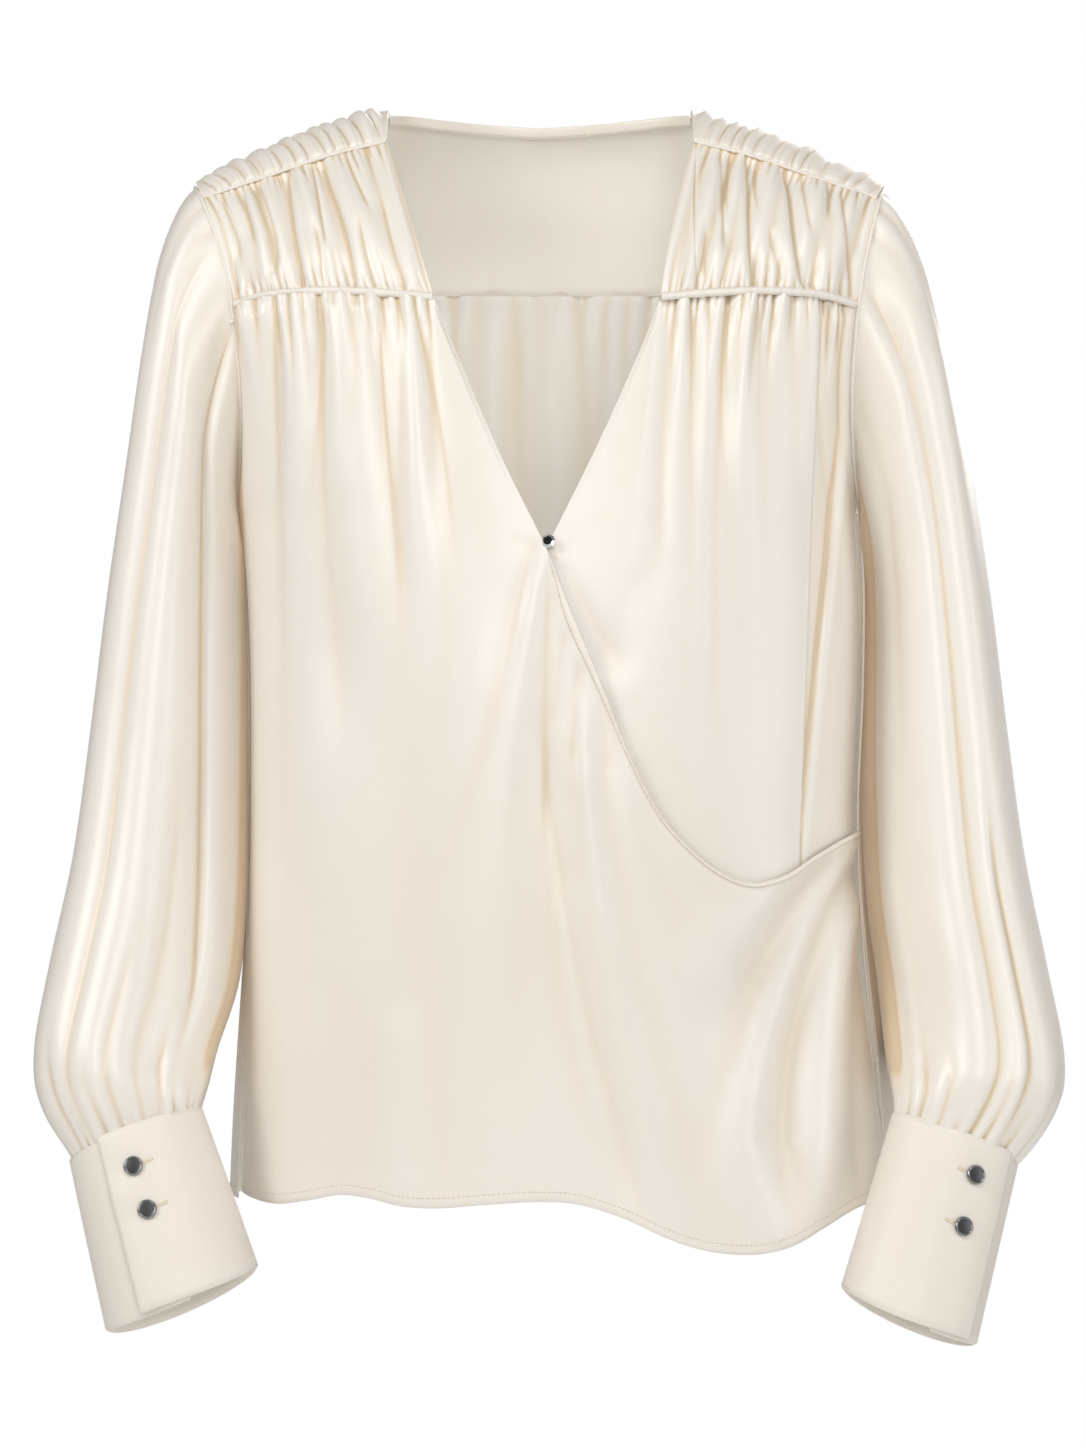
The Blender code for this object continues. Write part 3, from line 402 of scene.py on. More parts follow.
NECKLINE_MID, NECKLINE_MID_SHARE, NECKLINE_BEND = (78, -48, -27), 0.33, 0.8
LEFT_YOKE_WIDER = (6.0, 8.0)
BACK_SEAM_Z = -75
BACK_HEM_Z = -597
SEAM_COLUMNS = 56
HEM_TURN_Q = 0.10
RIGHT_TOP_EDGE = table("column x z", [
    (56, -59, -90), (58, -46, -122), (61, -22, -178), (64, 2, -227), (68, 14, -257),
    (72, 24, -281), (76, 36, -310), (81, 48, -341), (85, 62, -370), (89, 78, -391),
    (92, 95, -406), (96, 117, -415), (99, 134, -412), (103, 154, -401), (108, 173, -391),
    (112, 181, -388)])
LEFT_TOP_EDGE = table("column x z", [
    (56, 67, -90), (58, 56, -118), (61, 32, -172), (64, 5, -227), (70, -24, -281),
    (78, -62, -352), (86, -117, -392), (96, -171, -389)])
HEM = table("x z", [
    (-172, -592), (-148, -595), (-131, -592), (-112, -588), (-97, -589), (-77, -593),
    (-60, -594), (-33, -592), (0, -590), (19, -591), (34, -595), (50, -601), (66, -609),
    (84, -616), (104, -620), (124, -620), (140, -616), (156, -608), (172, -600),
    (205, -591)])
print("armhole loop of", len(ARMHOLE["turn"]), "places; hem of", len(HEM["x"]))

# %% [markdown]
# ## The form of the body
#
# Every level of the body is a ring between a circle and a box. A place on it is given by q,
# which runs from -1 at the right side seam to +1 at the left one, by its height, and by the
# face: -1 in front and +1 behind. Above the underarm the ring ends at the armhole instead.

# %% Body rings
def armhole(turn, side):
    names = ("x_right" if side < 0 else "x_left") + " y z"
    x, y, z = read(ARMHOLE, "turn", names, np.mod(turn, 360.0))
    return points(side * x, y, z)


ARMHOLE_TURNS = {-1: np.arange(180, FRONT_YOKE_TURN - 31, -3),
                 1: np.arange(180, BACK_YOKE_TURN + 31, 3)}
ARMHOLE_HALVES = {(side, face): armhole(ARMHOLE_TURNS[face], side)
                  for side in (-1, 1) for face in (-1, 1)}
UNDERARM_Z = float(ARMHOLE_HALVES[1, -1][0, 2])


def body_edge(z, side, face):
    """Outer end of a ring: the side seam, or the armhole above the underarm."""
    above = z > UNDERARM_Z
    right, left = ARMHOLE_HALVES[-1, face], ARMHOLE_HALVES[1, face]
    right_x, left_x = (np.where(above, np.interp(z, half[:, 2], np.abs(half[:, 0])), below)
                       for half, below in zip((right, left), read(BODY, "z", "x_right x_left", z)))
    y = np.where(above, np.interp(z, right[:, 2], right[:, 1]), 0.0)
    return side * np.where(side < 0, right_x, left_x), y + face * SEAM_GAP * 0.6


def body_point(q, z, face):
    edge_x, edge_y = body_edge(z, np.where(q < 0, -1, 1), face)
    middle_y, = read(BODY, "z", "y_front" if face < 0 else "y_back", z)
    angle = (1 - np.minimum(np.abs(q), 1.0)) * np.pi / 2
    x = edge_x * np.maximum(np.cos(angle), 0) ** (2 / BODY_POWER)
    return points(x, mix(edge_y, middle_y, np.maximum(np.sin(angle), 0) ** (2 / BODY_POWER)), z)


def ring_place(x, z, face):
    """The q of a point given by its x."""
    side = np.where(x < 0, -1, 1)
    edge_x, _ = body_edge(z, side, face)
    share = np.minimum(np.abs(x / edge_x), 1.0) ** (BODY_POWER / 2)
    return (1 - np.arccos(share) * 2 / np.pi) * side


def body_normal(q, z, face):
    step = 0.02
    along = (body_point(np.minimum(q + step, 0.999), z, face)
             - body_point(np.maximum(q - step, -0.999), z, face))
    down = body_point(q, z - 4, face) - body_point(q, z + 4, face)
    normal = unit(np.cross(along, down))
    here = body_point(q, z, face)
    outward = points(here[..., 0], face * 60.0, 0.0)
    turned = np.sum(normal * outward, -1, keepdims=True) < 0
    return np.where(turned, -normal, normal)


def side_fade(q, z):
    """Folds die out towards the armhole, where the panel is sewn to the sleeve."""
    along_armhole = ease((z - UNDERARM_Z) / 30 + 0.5)
    return 1 - along_armhole * (1 - ease((1 - np.abs(q)) / 0.10))


print("front of the body at the bust:", body_point(np.array([0.0]), np.array([-205.0]), -1)[0])

# %% [markdown]
# ## Folds and gathers
#
# A long fold is a line with a width, a height and a lean: with a lean one flank is steeper
# than the other, as when satin rolls over. Troughs have a height below zero and a narrow
# floor, because satin folds in round rolls with sharp creases between them. Gathers are
# what a seam does when a long edge is sewn to a short one: small sharp puckers at the seam
# that join into fewer and wider folds further away. They are made in up to three sizes, each
# with its own spacing, height and reach, and none of them quite regular.

# %% Long folds
# the ends of the fold, its bow, its width at either end, its height and its lean
FOLD_COLUMNS = "x0 z0 x1 z1 bow width0 width1 height lean"
CREASE_FLOOR = 0.06
CREASE_FLOOR_WIDTH = 4.0


def fold_shape(across, height, floor=CREASE_FLOOR):
    """Section of a fold over its width: a round crest, or a trough with a narrow floor."""
    if height > 0:
        return np.exp(-across ** 2)
    return np.exp(1.25 * (floor ** 0.5 - np.sqrt(across ** 2 + floor)))


def roll(phase, power=0.7):
    """Round rolls from 0 at each sharp crease to 1 on each crest, one to a whole number."""
    return np.abs(np.cos(np.pi * phase)) ** power


def fold_height(folds, x, z):
    """Sum of the long folds at points of the front or back, seen flat."""
    total = np.zeros_like(x)
    for x0, z0, x1, z1, bow, width0, width1, height, lean in folds:
        length = np.hypot(x1 - x0, z1 - z0)
        ux, uz = (x1 - x0) / length, (z1 - z0) / length
        t = ((x - x0) * ux + (z - z0) * uz) / length
        inside = np.clip(t, 0.0, 1.0)
        across = (x - x0) * uz - (z - z0) * ux - bow * 4 * inside * (1 - inside)
        width = mix(width0, width1, inside) * (1 + lean * np.tanh(across / width0))
        fade = ease((t + 0.12) / 0.24) * ease((1.12 - t) / 0.35)
        floor = CREASE_FLOOR * (width0 / CREASE_FLOOR_WIDTH) ** 2
        total += height * fade * fold_shape(across / width, height, floor)
    return total


PUCKER_VARIETY = "height_base height_more height_power reach_base reach_more opening"
SEAM_VARIETY = (0.5, 2.4, 1.5, 0.35, 1.1, 22)
RING_VARIETY = (1.0, 1.2, 1.0, 0.5, 0.8, 26)
# wandering along the seam, as a share of the spacing, and sideways with the distance
WANDER, SWAY = 0.45, 0.10
# roundness of the rolls at the seam and what it gains further away
ROLL_AT_SEAM, ROLL_GAIN = 0.7, 0.9


def crests(phase, index, distance, size, reach, salt, variety):
    """Height of a row of puckers, each a little different from its neighbours."""
    height_base, height_more, height_power, reach_base, reach_more, opening = variety
    height = size * (height_base + height_more * wobble(index, salt + 2) ** height_power)
    length = reach * (reach_base + reach_more * wobble(index, salt + 3))
    rounded = roll(phase, ROLL_AT_SEAM + ROLL_GAIN * ease(distance / opening))
    return height * rounded * np.exp(-distance / length) - size * np.exp(-distance / reach)


def puckers(along, distance, total, spacing, size, reach, salt):
    """One size of gathers: along and distance are mm along the seam and away from it."""
    wander = WANDER * spacing * drift(along / (spacing * 2.7), salt)
    sway = SWAY * distance * drift(along / (spacing * 3.3), salt + 1)
    phase = (along + wander + sway) / spacing
    ends = ease(along / (0.8 * spacing)) * ease((total - along) / (0.8 * spacing))
    return crests(phase, np.round(phase), distance, size, reach, salt, SEAM_VARIETY) * ends


def gathers(along, distance, total, sizes, salt):
    return sum(puckers(along, distance, total, *row, salt + 10 * k) for k, row in enumerate(sizes))


print("fold columns:", FOLD_COLUMNS)
print("pucker columns:", PUCKER_VARIETY)

# %% [markdown]
# ## From a grid of points to a piece of cloth
#
# A piece starts as a grid of points on its outer face. The wall goes inwards along the
# normals, and a rounded edge joins the two faces all round, which reads as a turned and
# pressed edge. The outer face gets the satin side and the inner one the duller back. The flat
# coordinates come from the lengths of the grid's own rows and columns, in metres.

# %% Cloth from a grid
CLOTH_WALL, BAND_WALL, THIN_WALL = 1.0, 0.8, 0.5
EDGE_ROUND = 0.35


def grid_normals(grid, closed):
    if closed:
        along = np.roll(grid, -1, 1) - np.roll(grid, 1, 1)
    else:
        along = np.gradient(grid, axis=1)
    return unit(np.cross(along, np.gradient(grid, axis=0)))


CREASE_REACHES = (2, 4)
CREASE_SPACING = 1.0
CREASE_SCALE = 0.75
# how strongly the painted fold shade of the outer face shows on the inner one, turned over,
# so that the outer face's valleys are painted lighter there
INSIDE_FOLD_SHADE = 0.8


def creases(grid, normals, closed):
    """How far each point lies in a valley, from 0 on a crest to 1, by its neighbours."""
    rows, columns = grid.shape[:2]
    depth = np.zeros((rows, columns))
    for reach in CREASE_REACHES:
        for step in (-reach, -reach // 2, reach // 2, reach):
            beside = np.arange(columns) + step
            beside = np.mod(beside, columns) if closed else np.clip(beside, 0, columns - 1)
            away = grid[:, beside] - grid
            apart = np.linalg.norm(away, axis=-1) + 0.05
            local = np.minimum(abs(step) * CREASE_SPACING / apart, 1.6) ** 1.5
            depth += np.sum(away * normals, -1) * local / 4
    return 0.5 + 0.5 * np.tanh(depth / CREASE_SCALE)


def flat_places(grid, closed):
    """Flat coordinates in metres, from the mean lengths along the rows and columns."""
    steps = np.linalg.norm(np.diff(grid, axis=1), axis=2).mean(0)
    drops = np.linalg.norm(np.diff(grid, axis=0), axis=2).mean(1)
    if closed:
        steps = np.append(steps, np.linalg.norm(grid[:, 0] - grid[:, -1], axis=1).mean())
    across = np.concatenate([[0], np.cumsum(steps)]) * MM
    down = np.concatenate([[0], np.cumsum(drops)]) * MM
    return across, down


def side_by_side(*arrays):
    return np.stack(arrays, -1)


def grid_squares(rows, columns, closed, normals):
    """The four points of each square of a grid, and the column and row of each of them.

    A square starts at the corner from which its diagonal follows the fold it lies in.
    """
    r, c = np.meshgrid(np.arange(rows - 1), np.arange(columns - (not closed)), indexing="ij")
    corners = np.stack([side_by_side(c, r), side_by_side(c + 1, r),
                        side_by_side(c + 1, r + 1), side_by_side(c, r + 1)], 2).reshape(-1, 4, 2)
    squares = corners[..., 1] * columns + corners[..., 0] % columns
    facing = normals.reshape(-1, 3)[squares]
    one_way, other_way = (np.sum(facing[:, k] * facing[:, k + 2], -1) for k in (0, 1))
    turned = other_way > one_way
    squares[turned] = np.roll(squares[turned], -1, 1)
    corners[turned] = np.roll(corners[turned], -1, 1)
    return squares, corners


def rim_loops(rows, columns, closed):
    """Point numbers along the rims of a grid: one all round, or two on a closed tube."""
    first, left = np.arange(columns), np.arange(rows) * columns
    last, right = first + (rows - 1) * columns, left + columns - 1
    if closed:
        return [first, last]
    return [np.concatenate([first[:-1], right[:-1], last[:0:-1], left[:0:-1]])]


def shell(grid, normals, wall, closed, flipped):
    """Points, faces, the column and row of each corner, material slots and rims."""
    rows, columns = grid.shape[:2]
    count = rows * columns
    squares, corners = grid_squares(rows, columns, closed, normals)
    if flipped:
        squares, corners = squares[:, ::-1], corners[:, ::-1]
    flat, flat_inner = grid.reshape(-1, 3), (grid - normals * wall).reshape(-1, 3)
    verts = [flat, flat_inner]
    faces, places = [squares, squares[:, ::-1] + count], [corners, corners[:, ::-1]]
    rims = rim_loops(rows, columns, closed)
    total = 2 * count
    for k, rim in enumerate(rims):
        row, column = rim // columns, rim % columns
        column_in = column if closed else np.clip(column, 1, columns - 2)
        away = unit(flat[rim] - flat[np.clip(row, 1, rows - 2) * columns + column_in])
        verts.append((flat[rim] + flat_inner[rim]) / 2 + away * wall * EDGE_ROUND)
        ring = np.arange(len(rim)) + total
        total += len(rim)
        rim_next, ring_next = np.roll(rim, -1), np.roll(ring, -1)
        row_next, column_next = rim_next // columns, rim_next % columns
        wrapped = np.where(closed & (column_next < column), columns, column_next)
        edge = np.stack([side_by_side(column, row), side_by_side(wrapped, row_next)], 1)
        edge = edge[:, [0, 1, 1, 0]]
        turn = flipped if k == 1 else not flipped
        for strip in (side_by_side(rim, rim_next, ring_next, ring),
                      side_by_side(ring, ring_next, rim_next + count, rim + count)):
            faces.append(strip[:, ::-1] if turn else strip)
            places.append(edge[:, ::-1] if turn else edge)
    slots = np.zeros(sum(len(part) for part in faces), np.int32)
    slots[len(squares):2 * len(squares)] = 1
    return np.concatenate(verts), np.concatenate(faces), np.concatenate(places), slots, rims


def cloth(name, grid, axis, finish, closed=False, wall=CLOTH_WALL, shade=0.0):
    """A thin shell through a grid of points in mm; the wall goes towards the axis.

    shade, from 0 to 1, tells where a piece lies deep beside another: it becomes the "bounce"
    attribute, which drives a painted glow, and it deepens the painted fold shade.
    """
    normals = grid_normals(grid, closed)
    start, end = np.array(axis[0], float), np.array(axis[1], float)
    share = ((grid - start) @ (end - start)) / ((end - start) @ (end - start))
    flipped = np.sum(normals * (grid - (start + share[..., None] * (end - start)))) < 0
    if flipped:
        normals = -normals
    verts, faces, places, slots, rims = shell(grid, normals, wall, closed, flipped)
    # painted shade and glow: the fold measure plus shade becomes the painted fold shade
    deep = np.broadcast_to(shade, grid.shape[:2]).ravel()
    valley = np.minimum(creases(grid, normals, closed).ravel() + deep, 1.0)
    inside = 0.5 - INSIDE_FOLD_SHADE * (valley - deep - 0.5)
    across, down = flat_places(grid, closed)
    uv = side_by_side(across[places[..., 0]], down[places[..., 1]])
    data = bpy.data.meshes.new(name)
    data.from_pydata(verts * MM, [], faces.tolist())
    data.uv_layers.new(name="cloth").data.foreach_set("uv", uv.astype(np.float32).ravel())
    for label, outer, inner in (("fold_shade", valley, inside), ("bounce", deep, deep * 0)):
        values = np.concatenate([outer, inner] + [outer[rim] for rim in rims])
        attribute = data.attributes.new(label, "FLOAT", "POINT")
        attribute.data.foreach_set("value", values.astype(np.float32))
    data.materials.append(finish)
    data.materials.append(back_finish)
    data.polygons.foreach_set("material_index", slots)
    data.shade_smooth()
    print(f"{name}: {2 * len(faces)} triangles, about {across[-1]:.2f} x {down[-1]:.2f} m")
    return show(name, data)


print("rims of an open and of a closed grid:", len(rim_loops(3, 4, False)), len(rim_loops(3, 4, True)))

# %% [markdown]
# ## The two fronts
#
# Both fronts are gathered into the yoke seam. The right one crosses over: its free edge runs
# from the neckline by the button and in a deep curve to the left side seam. Every column of
# the grid starts at the top edge and ends at the hem, so the gathers fan out as the threads
# do. The folds are listed one by one: soft ones below the gathers, sharper ones that hang from
# the button, and the drapes that fall from the high end of the wrap.

# %% Fold tables of the fronts
RIGHT_FRONT_FOLDS = [
    # below the gathers
    (-149, -95, -145, -470, 0, 5, 20, -3.4, 0), (-134, -95, -127, -420, 2, 10, 22, 2.6, 0),
    (-121, -92, -112, -330, 4, 4.5, 20, -3.6, 0.2), (-104, -95, -92, -330, 3, 9, 20, 2.8, 0),
    (-90, -92, -74, -270, 2, 4, 14, -3.2, 0), (-80, -95, -62, -270, -4, 7, 14, 2.0, 0),
    (-70, -92, -48, -230, -3, 4, 12, -2.6, 0), (-110, -260, -62, -560, -14, 18, 36, -3.4, 0),
    (-30, -280, -46, -560, 8, 16, 30, 3.6, 0), (-48, -450, -52, -600, 0, 18, 26, -2.8, 0),
    # from the button
    (1, -240, -36, -500, 4, 6, 24, 3.2, 0), (-8, -240, -60, -420, -5, 5, 22, -1.9, 0),
    (4, -250, 2, -400, 0, 5, 10, -3.4, 0.2), (2, -340, 56, -598, 8, 8, 12, -5.4, 0.35),
    (14, -420, 46, -560, 5, 8, 16, 3.4, -0.3), (-2, -230, -18, -224, 0, 4, 5, -0.5, 0),
    # from the turned edge
    (12, -276, 7, -330, 0, 4.5, 7, -1.8, 0), (21, -294, 17, -352, 0, 4.5, 7, -2.0, 0),
    (24, -330, 74, -592, 9, 6, 13, 4.2, 0), (36, -322, 92, -560, 8, 8, 22, -3.6, 0),
    (42, -345, 98, -560, 10, 9, 22, 3.2, 0),
    # the drapes from the high end of the wrap
    (172, -396, 84, -470, 8, 8, 20, 3.2, 0), (172, -398, 112, -520, 9, 11, 24, -6.2, -0.2),
    (176, -402, 108, -594, 13, 8, 18, 6.6, 0), (177, -408, 136, -590, 12, 10, 22, -7.0, 0.3),
    (180, -425, 158, -594, 8, 8, 14, 4.2, 0), (186, -440, 181, -598, 3, 8, 9, -3.4, 0),
    # at the hem
    (-112, -470, -114, -602, 0, 16, 20, -3.4, 0), (-78, -490, -77, -602, 0, 14, 18, 2.4, 0),
    (128, -560, 126, -622, 0, 14, 16, 2.6, 0)]
LEFT_FRONT_FOLDS = [
    (12, -232, 44, -210, -3, 3.5, 8, -2.2, 0), (13, -239, 50, -300, 3, 4, 16, -2.8, 0),
    (12, -228, 40, -188, 2, 3.5, 9, 1.4, 0), (60, -240, 30, -330, 6, 12, 22, -2.6, 0),
    (76, -95, 70, -250, 3, 5, 13, -2.8, 0), (89, -92, 84, -300, 3, 8, 14, 2.2, 0),
    (103, -92, 100, -350, 4, 6, 16, -3.6, 0), (120, -95, 121, -380, 2, 9, 16, 2.6, 0),
    (178, -130, 173, -380, 0, 4, 5, 1.4, 0)]
# the recess in the underlap: its two lips at the top and at the bottom
RECESS_LEFT_LIP, RECESS_RIGHT_LIP = (157, 146), (184.5, 149)
RECESS_Z = (-110, -408)
FRONT_GATHERS = [
    # spacing, height, reach
    (5.2, 0.9, 7), (10.2, 1.9, 20), (22, 2.4, 80)]
FRONT_SEAM_LENGTH = 128.0
# how the cloth swells below a gathered seam: height, where it is reached, and its reach
FRONT_PUFF = (2.4, 10, 60)
SETTLE_PASSES = 14
# rows lie closer together near the seams
ROW_CROWDING = 1.25
FRONT_ROWS = {-1: 168, 1: 110}
CORD_TUCK = 1.2
COVERED_DEPTH = -7.0
SIDE_PANEL_STEP = 7.5
RECESS_DEPTH = 7.0
RECESS_SHADE = 0.22
RECESS_LEFT_STEEPNESS, RECESS_RIGHT_STEEPNESS = 3.0, (12.0, 5.0)
# the crossing of the fronts, and over how many mm the underlap goes under the overlap
CROSSING_X, CROSSING_Z, COVER_FADE = 2.0, -226.0, 24.0
# where the body turns away beside the right and the left sleeve, over how many mm its shade
# sets in, and the height at which the shade begins to fade and ends
SIDE_LINES = {-1: 165.0, 1: 177.0}
SIDE_SHADE_RISE, SIDE_SHADE_Z = 6.0, (-440.0, -520.0)


def yoke_seam(share, side):
    """The left seam lies a little further from the middle than the right one."""
    x, y, z = read(YOKE_SEAM, "share", "x y z", share)
    return points(side * (x + mix(*LEFT_YOKE_WIDER, share) * (side > 0)), y, z)


def top_edge(edge, side, number):
    """x and z of a front's top edge by its column number."""
    seam = yoke_seam(number / SEAM_COLUMNS, side)
    x, z = read(edge, "column", "x z", number)
    on_seam = number <= SEAM_COLUMNS
    return np.where(on_seam, seam[..., 0], x), np.where(on_seam, seam[..., 2] - CORD_TUCK, z)


def wrap_edge_z(x):
    """Height of the overlap's edge at a width, from the crossing to the side seam."""
    return curve(RIGHT_TOP_EDGE["x"], RIGHT_TOP_EDGE["z"], np.maximum(x, CROSSING_X))


def soft_min(a, b, blend):
    return b - blend * np.logaddexp(0.0, (b - a) / blend)


def recess_walls(x, z):
    """How far a point lies past the left and the right lip of the underlap's recess."""
    down = np.clip((RECESS_Z[0] - z) / (RECESS_Z[0] - RECESS_Z[1]), 0, 1)
    left_wall = ease((x - mix(*RECESS_LEFT_LIP, down)) / RECESS_LEFT_STEEPNESS)
    right_wall = ease((x - mix(*RECESS_RIGHT_LIP, down)) / mix(*RECESS_RIGHT_STEEPNESS, down) + 0.5)
    return left_wall, right_wall


def left_front_height(x, z):
    """Underlap: its own folds where it shows, plain and further in where it is covered."""
    own = fold_height(LEFT_FRONT_FOLDS, x, z) - 1.0
    left_wall, right_wall = recess_walls(x, z)
    own += SIDE_PANEL_STEP * right_wall - RECESS_DEPTH * left_wall * (1 - right_wall)
    covered = np.where(x > CROSSING_X, ease((wrap_edge_z(x) - 2 - z) / COVER_FADE),
                       ease((CROSSING_Z - z) / COVER_FADE + 0.3))
    height = mix(own, COVERED_DEPTH, covered)
    return soft_min(height, fold_height(RIGHT_FRONT_FOLDS, x, z) - LAYER_GAP, 0.8)


def front_place(edge, side, number, row_share):
    """Where a point of a front lies: its q, its height, and its drop from the top edge."""
    last = edge["column"][-1]
    top_x, top_z = top_edge(edge, side, number)
    top_q = ring_place(top_x, top_z, -1)
    top_q = np.where(number == 0, side, np.where(number == last, -side, top_q))
    seam_end, share = SEAM_COLUMNS / last, number / last
    turn_q = -side * HEM_TURN_Q
    hem_q = np.where(share <= seam_end, mix(side, turn_q, share / seam_end),
                     mix(turn_q, -side, (share - seam_end) / (1 - seam_end)))
    q = mix(top_q, hem_q, ease(row_share) * 0.6 + row_share * 0.4)
    hem_x = body_point(hem_q, np.full_like(hem_q, HEM["z"][0]), -1)[..., 0]
    hem_z = curve(HEM["x"], HEM["z"], np.clip(hem_x, HEM["x"][0], HEM["x"][-1]))
    hem_z = hem_z + UNDERLAP_HEM_RISE * (side > 0)
    return q, mix(top_z, hem_z, row_share), row_share * (top_z - hem_z)


def settle(grid):
    """Softens a grid down its columns, with its first and last rows held."""
    grid = grid.copy()
    for _ in range(SETTLE_PASSES):
        grid[1:-1] = grid[1:-1] / 2 + (grid[:-2] + grid[2:]) / 4
    return grid


def puff(drop, height, rise, reach):
    return height * ease(drop / rise) * np.exp(-drop / reach)


def front_points(edge, side, number, row_share, lift=0.0):
    number, row_share = np.broadcast_arrays(number, row_share)
    q, z, drop = front_place(edge, side, number, row_share)
    base = body_point(q, z, -1)
    normals = body_normal(q, z, -1)
    if base.ndim == 3:
        base, normals = settle(base), unit(settle(normals))
    x = base[..., 0]
    height = fold_height(RIGHT_FRONT_FOLDS, x, z) if side < 0 else left_front_height(x, z)
    along = number / SEAM_COLUMNS * FRONT_SEAM_LENGTH
    in_seam = number <= SEAM_COLUMNS
    height = height + in_seam * gathers(along, drop, FRONT_SEAM_LENGTH, FRONT_GATHERS, 20 + side)
    beyond = ease((number - SEAM_COLUMNS) / 8)
    height += (1 - beyond) * puff(drop, *FRONT_PUFF)
    height = height * side_fade(q, z) + lift
    return base + normals * height[..., None]


def beside_sleeve(grid):
    """How deep each point of a front lies between the body and a sleeve, from 0 to 1."""
    x, z = grid[..., 0], grid[..., 2]
    past = np.where(x < 0, -x - SIDE_LINES[-1], x - SIDE_LINES[1])
    top, foot = SIDE_SHADE_Z
    return ease(past / SIDE_SHADE_RISE) * ease((z - foot) / (top - foot))


def row_shares(rows):
    return np.linspace(0, 1, rows)[:, None] ** ROW_CROWDING


def front_grid(edge, side, runs):
    """runs: the first column number of each part and how many lines the part is given."""
    ends = [start for start, _ in runs[1:]] + [edge["column"][-1] + 1e-6]
    numbers = np.concatenate([np.linspace(start, end, count, endpoint=False)
                              for (start, count), end in zip(runs, ends)] + [[edge["column"][-1]]])
    return front_points(edge, side, numbers[None, :], row_shares(FRONT_ROWS[side]))


RIGHT_RUNS = [(0, 150), (SEAM_COLUMNS, 53), (64, 32), (76, 46)]
LEFT_RUNS = [(0, 170), (SEAM_COLUMNS, 40), (64, 30)]
BODY_AXIS = ((0, 0, -100), (0, 0, -600))
made = {}
right_grid = front_grid(RIGHT_TOP_EDGE, -1, RIGHT_RUNS)
made["front_right"] = cloth("wrap_front_right", right_grid, BODY_AXIS, face_finish,
                            shade=beside_sleeve(right_grid))
left_grid = front_grid(LEFT_TOP_EDGE, 1, LEFT_RUNS)
past_left, past_right = recess_walls(left_grid[..., 0], left_grid[..., 2])
made["front_left"] = cloth("wrap_front_left", left_grid, BODY_AXIS, face_finish,
                           shade=np.maximum(RECESS_SHADE * past_left * (1 - past_right),
                                            beside_sleeve(left_grid)))

# %% [markdown]
# ## The turned edge of the wrap
#
# The free edge is turned and stitched. Near the button the turning shows as a flat band; on
# its way to the side seam it narrows to a thin roll. It lies on the front's own points,
# moved out, with a rounded section across it.

# %% Turned edge
EDGE_BAND_START, EDGE_BAND_END = SEAM_COLUMNS + 8.6, RIGHT_TOP_EDGE["column"][-1] - 0.6
EDGE_BAND_GRID = (220, 8)
EDGE_BAND_WIDTHS = (6.8, 2.6)
EDGE_BAND_RISE = 1.0


def edge_band_line(number, across, lift):
    """A line along the turned edge: across is 0 at the free edge and 1 at the inner one."""
    along = (number - EDGE_BAND_START) / (EDGE_BAND_END - EDGE_BAND_START)
    width = mix(*EDGE_BAND_WIDTHS, ease(along * 2.4 - 0.1))
    width = width * mix(0.35, 1.0, ease(along / 0.05))
    _, top_z = top_edge(RIGHT_TOP_EDGE, -1, number)
    drop = width * mix(2.7, 1.0, ease((number - 68) / 24))
    share = drop / (top_z + 600)
    rise = 0.2 + EDGE_BAND_RISE * max(np.sin(np.pi * across), 0) ** 0.4
    return front_points(RIGHT_TOP_EDGE, -1, number, share * (across - 0.08), rise + lift)


def edge_band_grid(columns, rows):
    number = np.linspace(EDGE_BAND_START, EDGE_BAND_END, columns)
    return np.array([edge_band_line(number, across, 0) for across in np.linspace(0, 1, rows)])


made["edge_band"] = cloth("wrap_edge_band", edge_band_grid(*EDGE_BAND_GRID), BODY_AXIS,
                          face_finish, wall=THIN_WALL)

# %% [markdown]
# ## The back
#
# Behind there are two pieces: a plain yoke across the shoulder blades, and the lower back,
# which is gathered into it and hangs free. The inside of both shows through the neckline.

# %% Lower back
BACK_FOLDS = [
    (-120, -90, -130, -590, 6, 8, 20, 2.2, 0), (-104, -90, -108, -600, 2, 5, 18, -2.6, 0),
    (-88, -90, -80, -600, -5, 7, 20, 2.0, 0), (-66, -90, -68, -560, 2, 5, 20, -2.4, 0),
    (-46, -90, -54, -600, 4, 6, 20, 2.4, 0), (-28, -90, -30, -560, 0, 5, 19, -2.6, 0),
    (-12, -90, -6, -600, 0, 6, 20, 2.2, 0), (6, -90, 14, -570, -2, 5, 18, -2.6, 0),
    (24, -90, 34, -600, -4, 6, 20, 2.2, 0), (44, -90, 50, -560, 2, 5, 18, -2.4, 0),
    (62, -90, 70, -600, 3, 6, 20, 2.2, 0), (84, -90, 96, -600, 4, 6, 20, -2.6, 0),
    (110, -90, 124, -590, 4, 8, 20, 2.4, 0), (136, -100, 150, -600, 0, 8, 18, -2.4, 0),
    (-144, -110, -152, -596, 0, 8, 18, -2.6, 0)]
BACK_GATHERS = [(6.4, 0.9, 9), (9.8, 1.9, 60), (24, 2.1, 140)]
BACK_SIDE_BULGE = 3.0
BACK_PUFF = (2.4, 12, 80)
BACK_GRID = (300, 78)
BACK_CORNER_FLARE = 13.0
# where the flare of a hem corner and the bulge beside the left seam stand, in q, and how wide
CORNER_Q, CORNER_WIDTH = 0.84, 0.13
BULGE_Q, BULGE_WIDTH = 0.91, 0.05
BACK_SEAM_LENGTH = 375.0


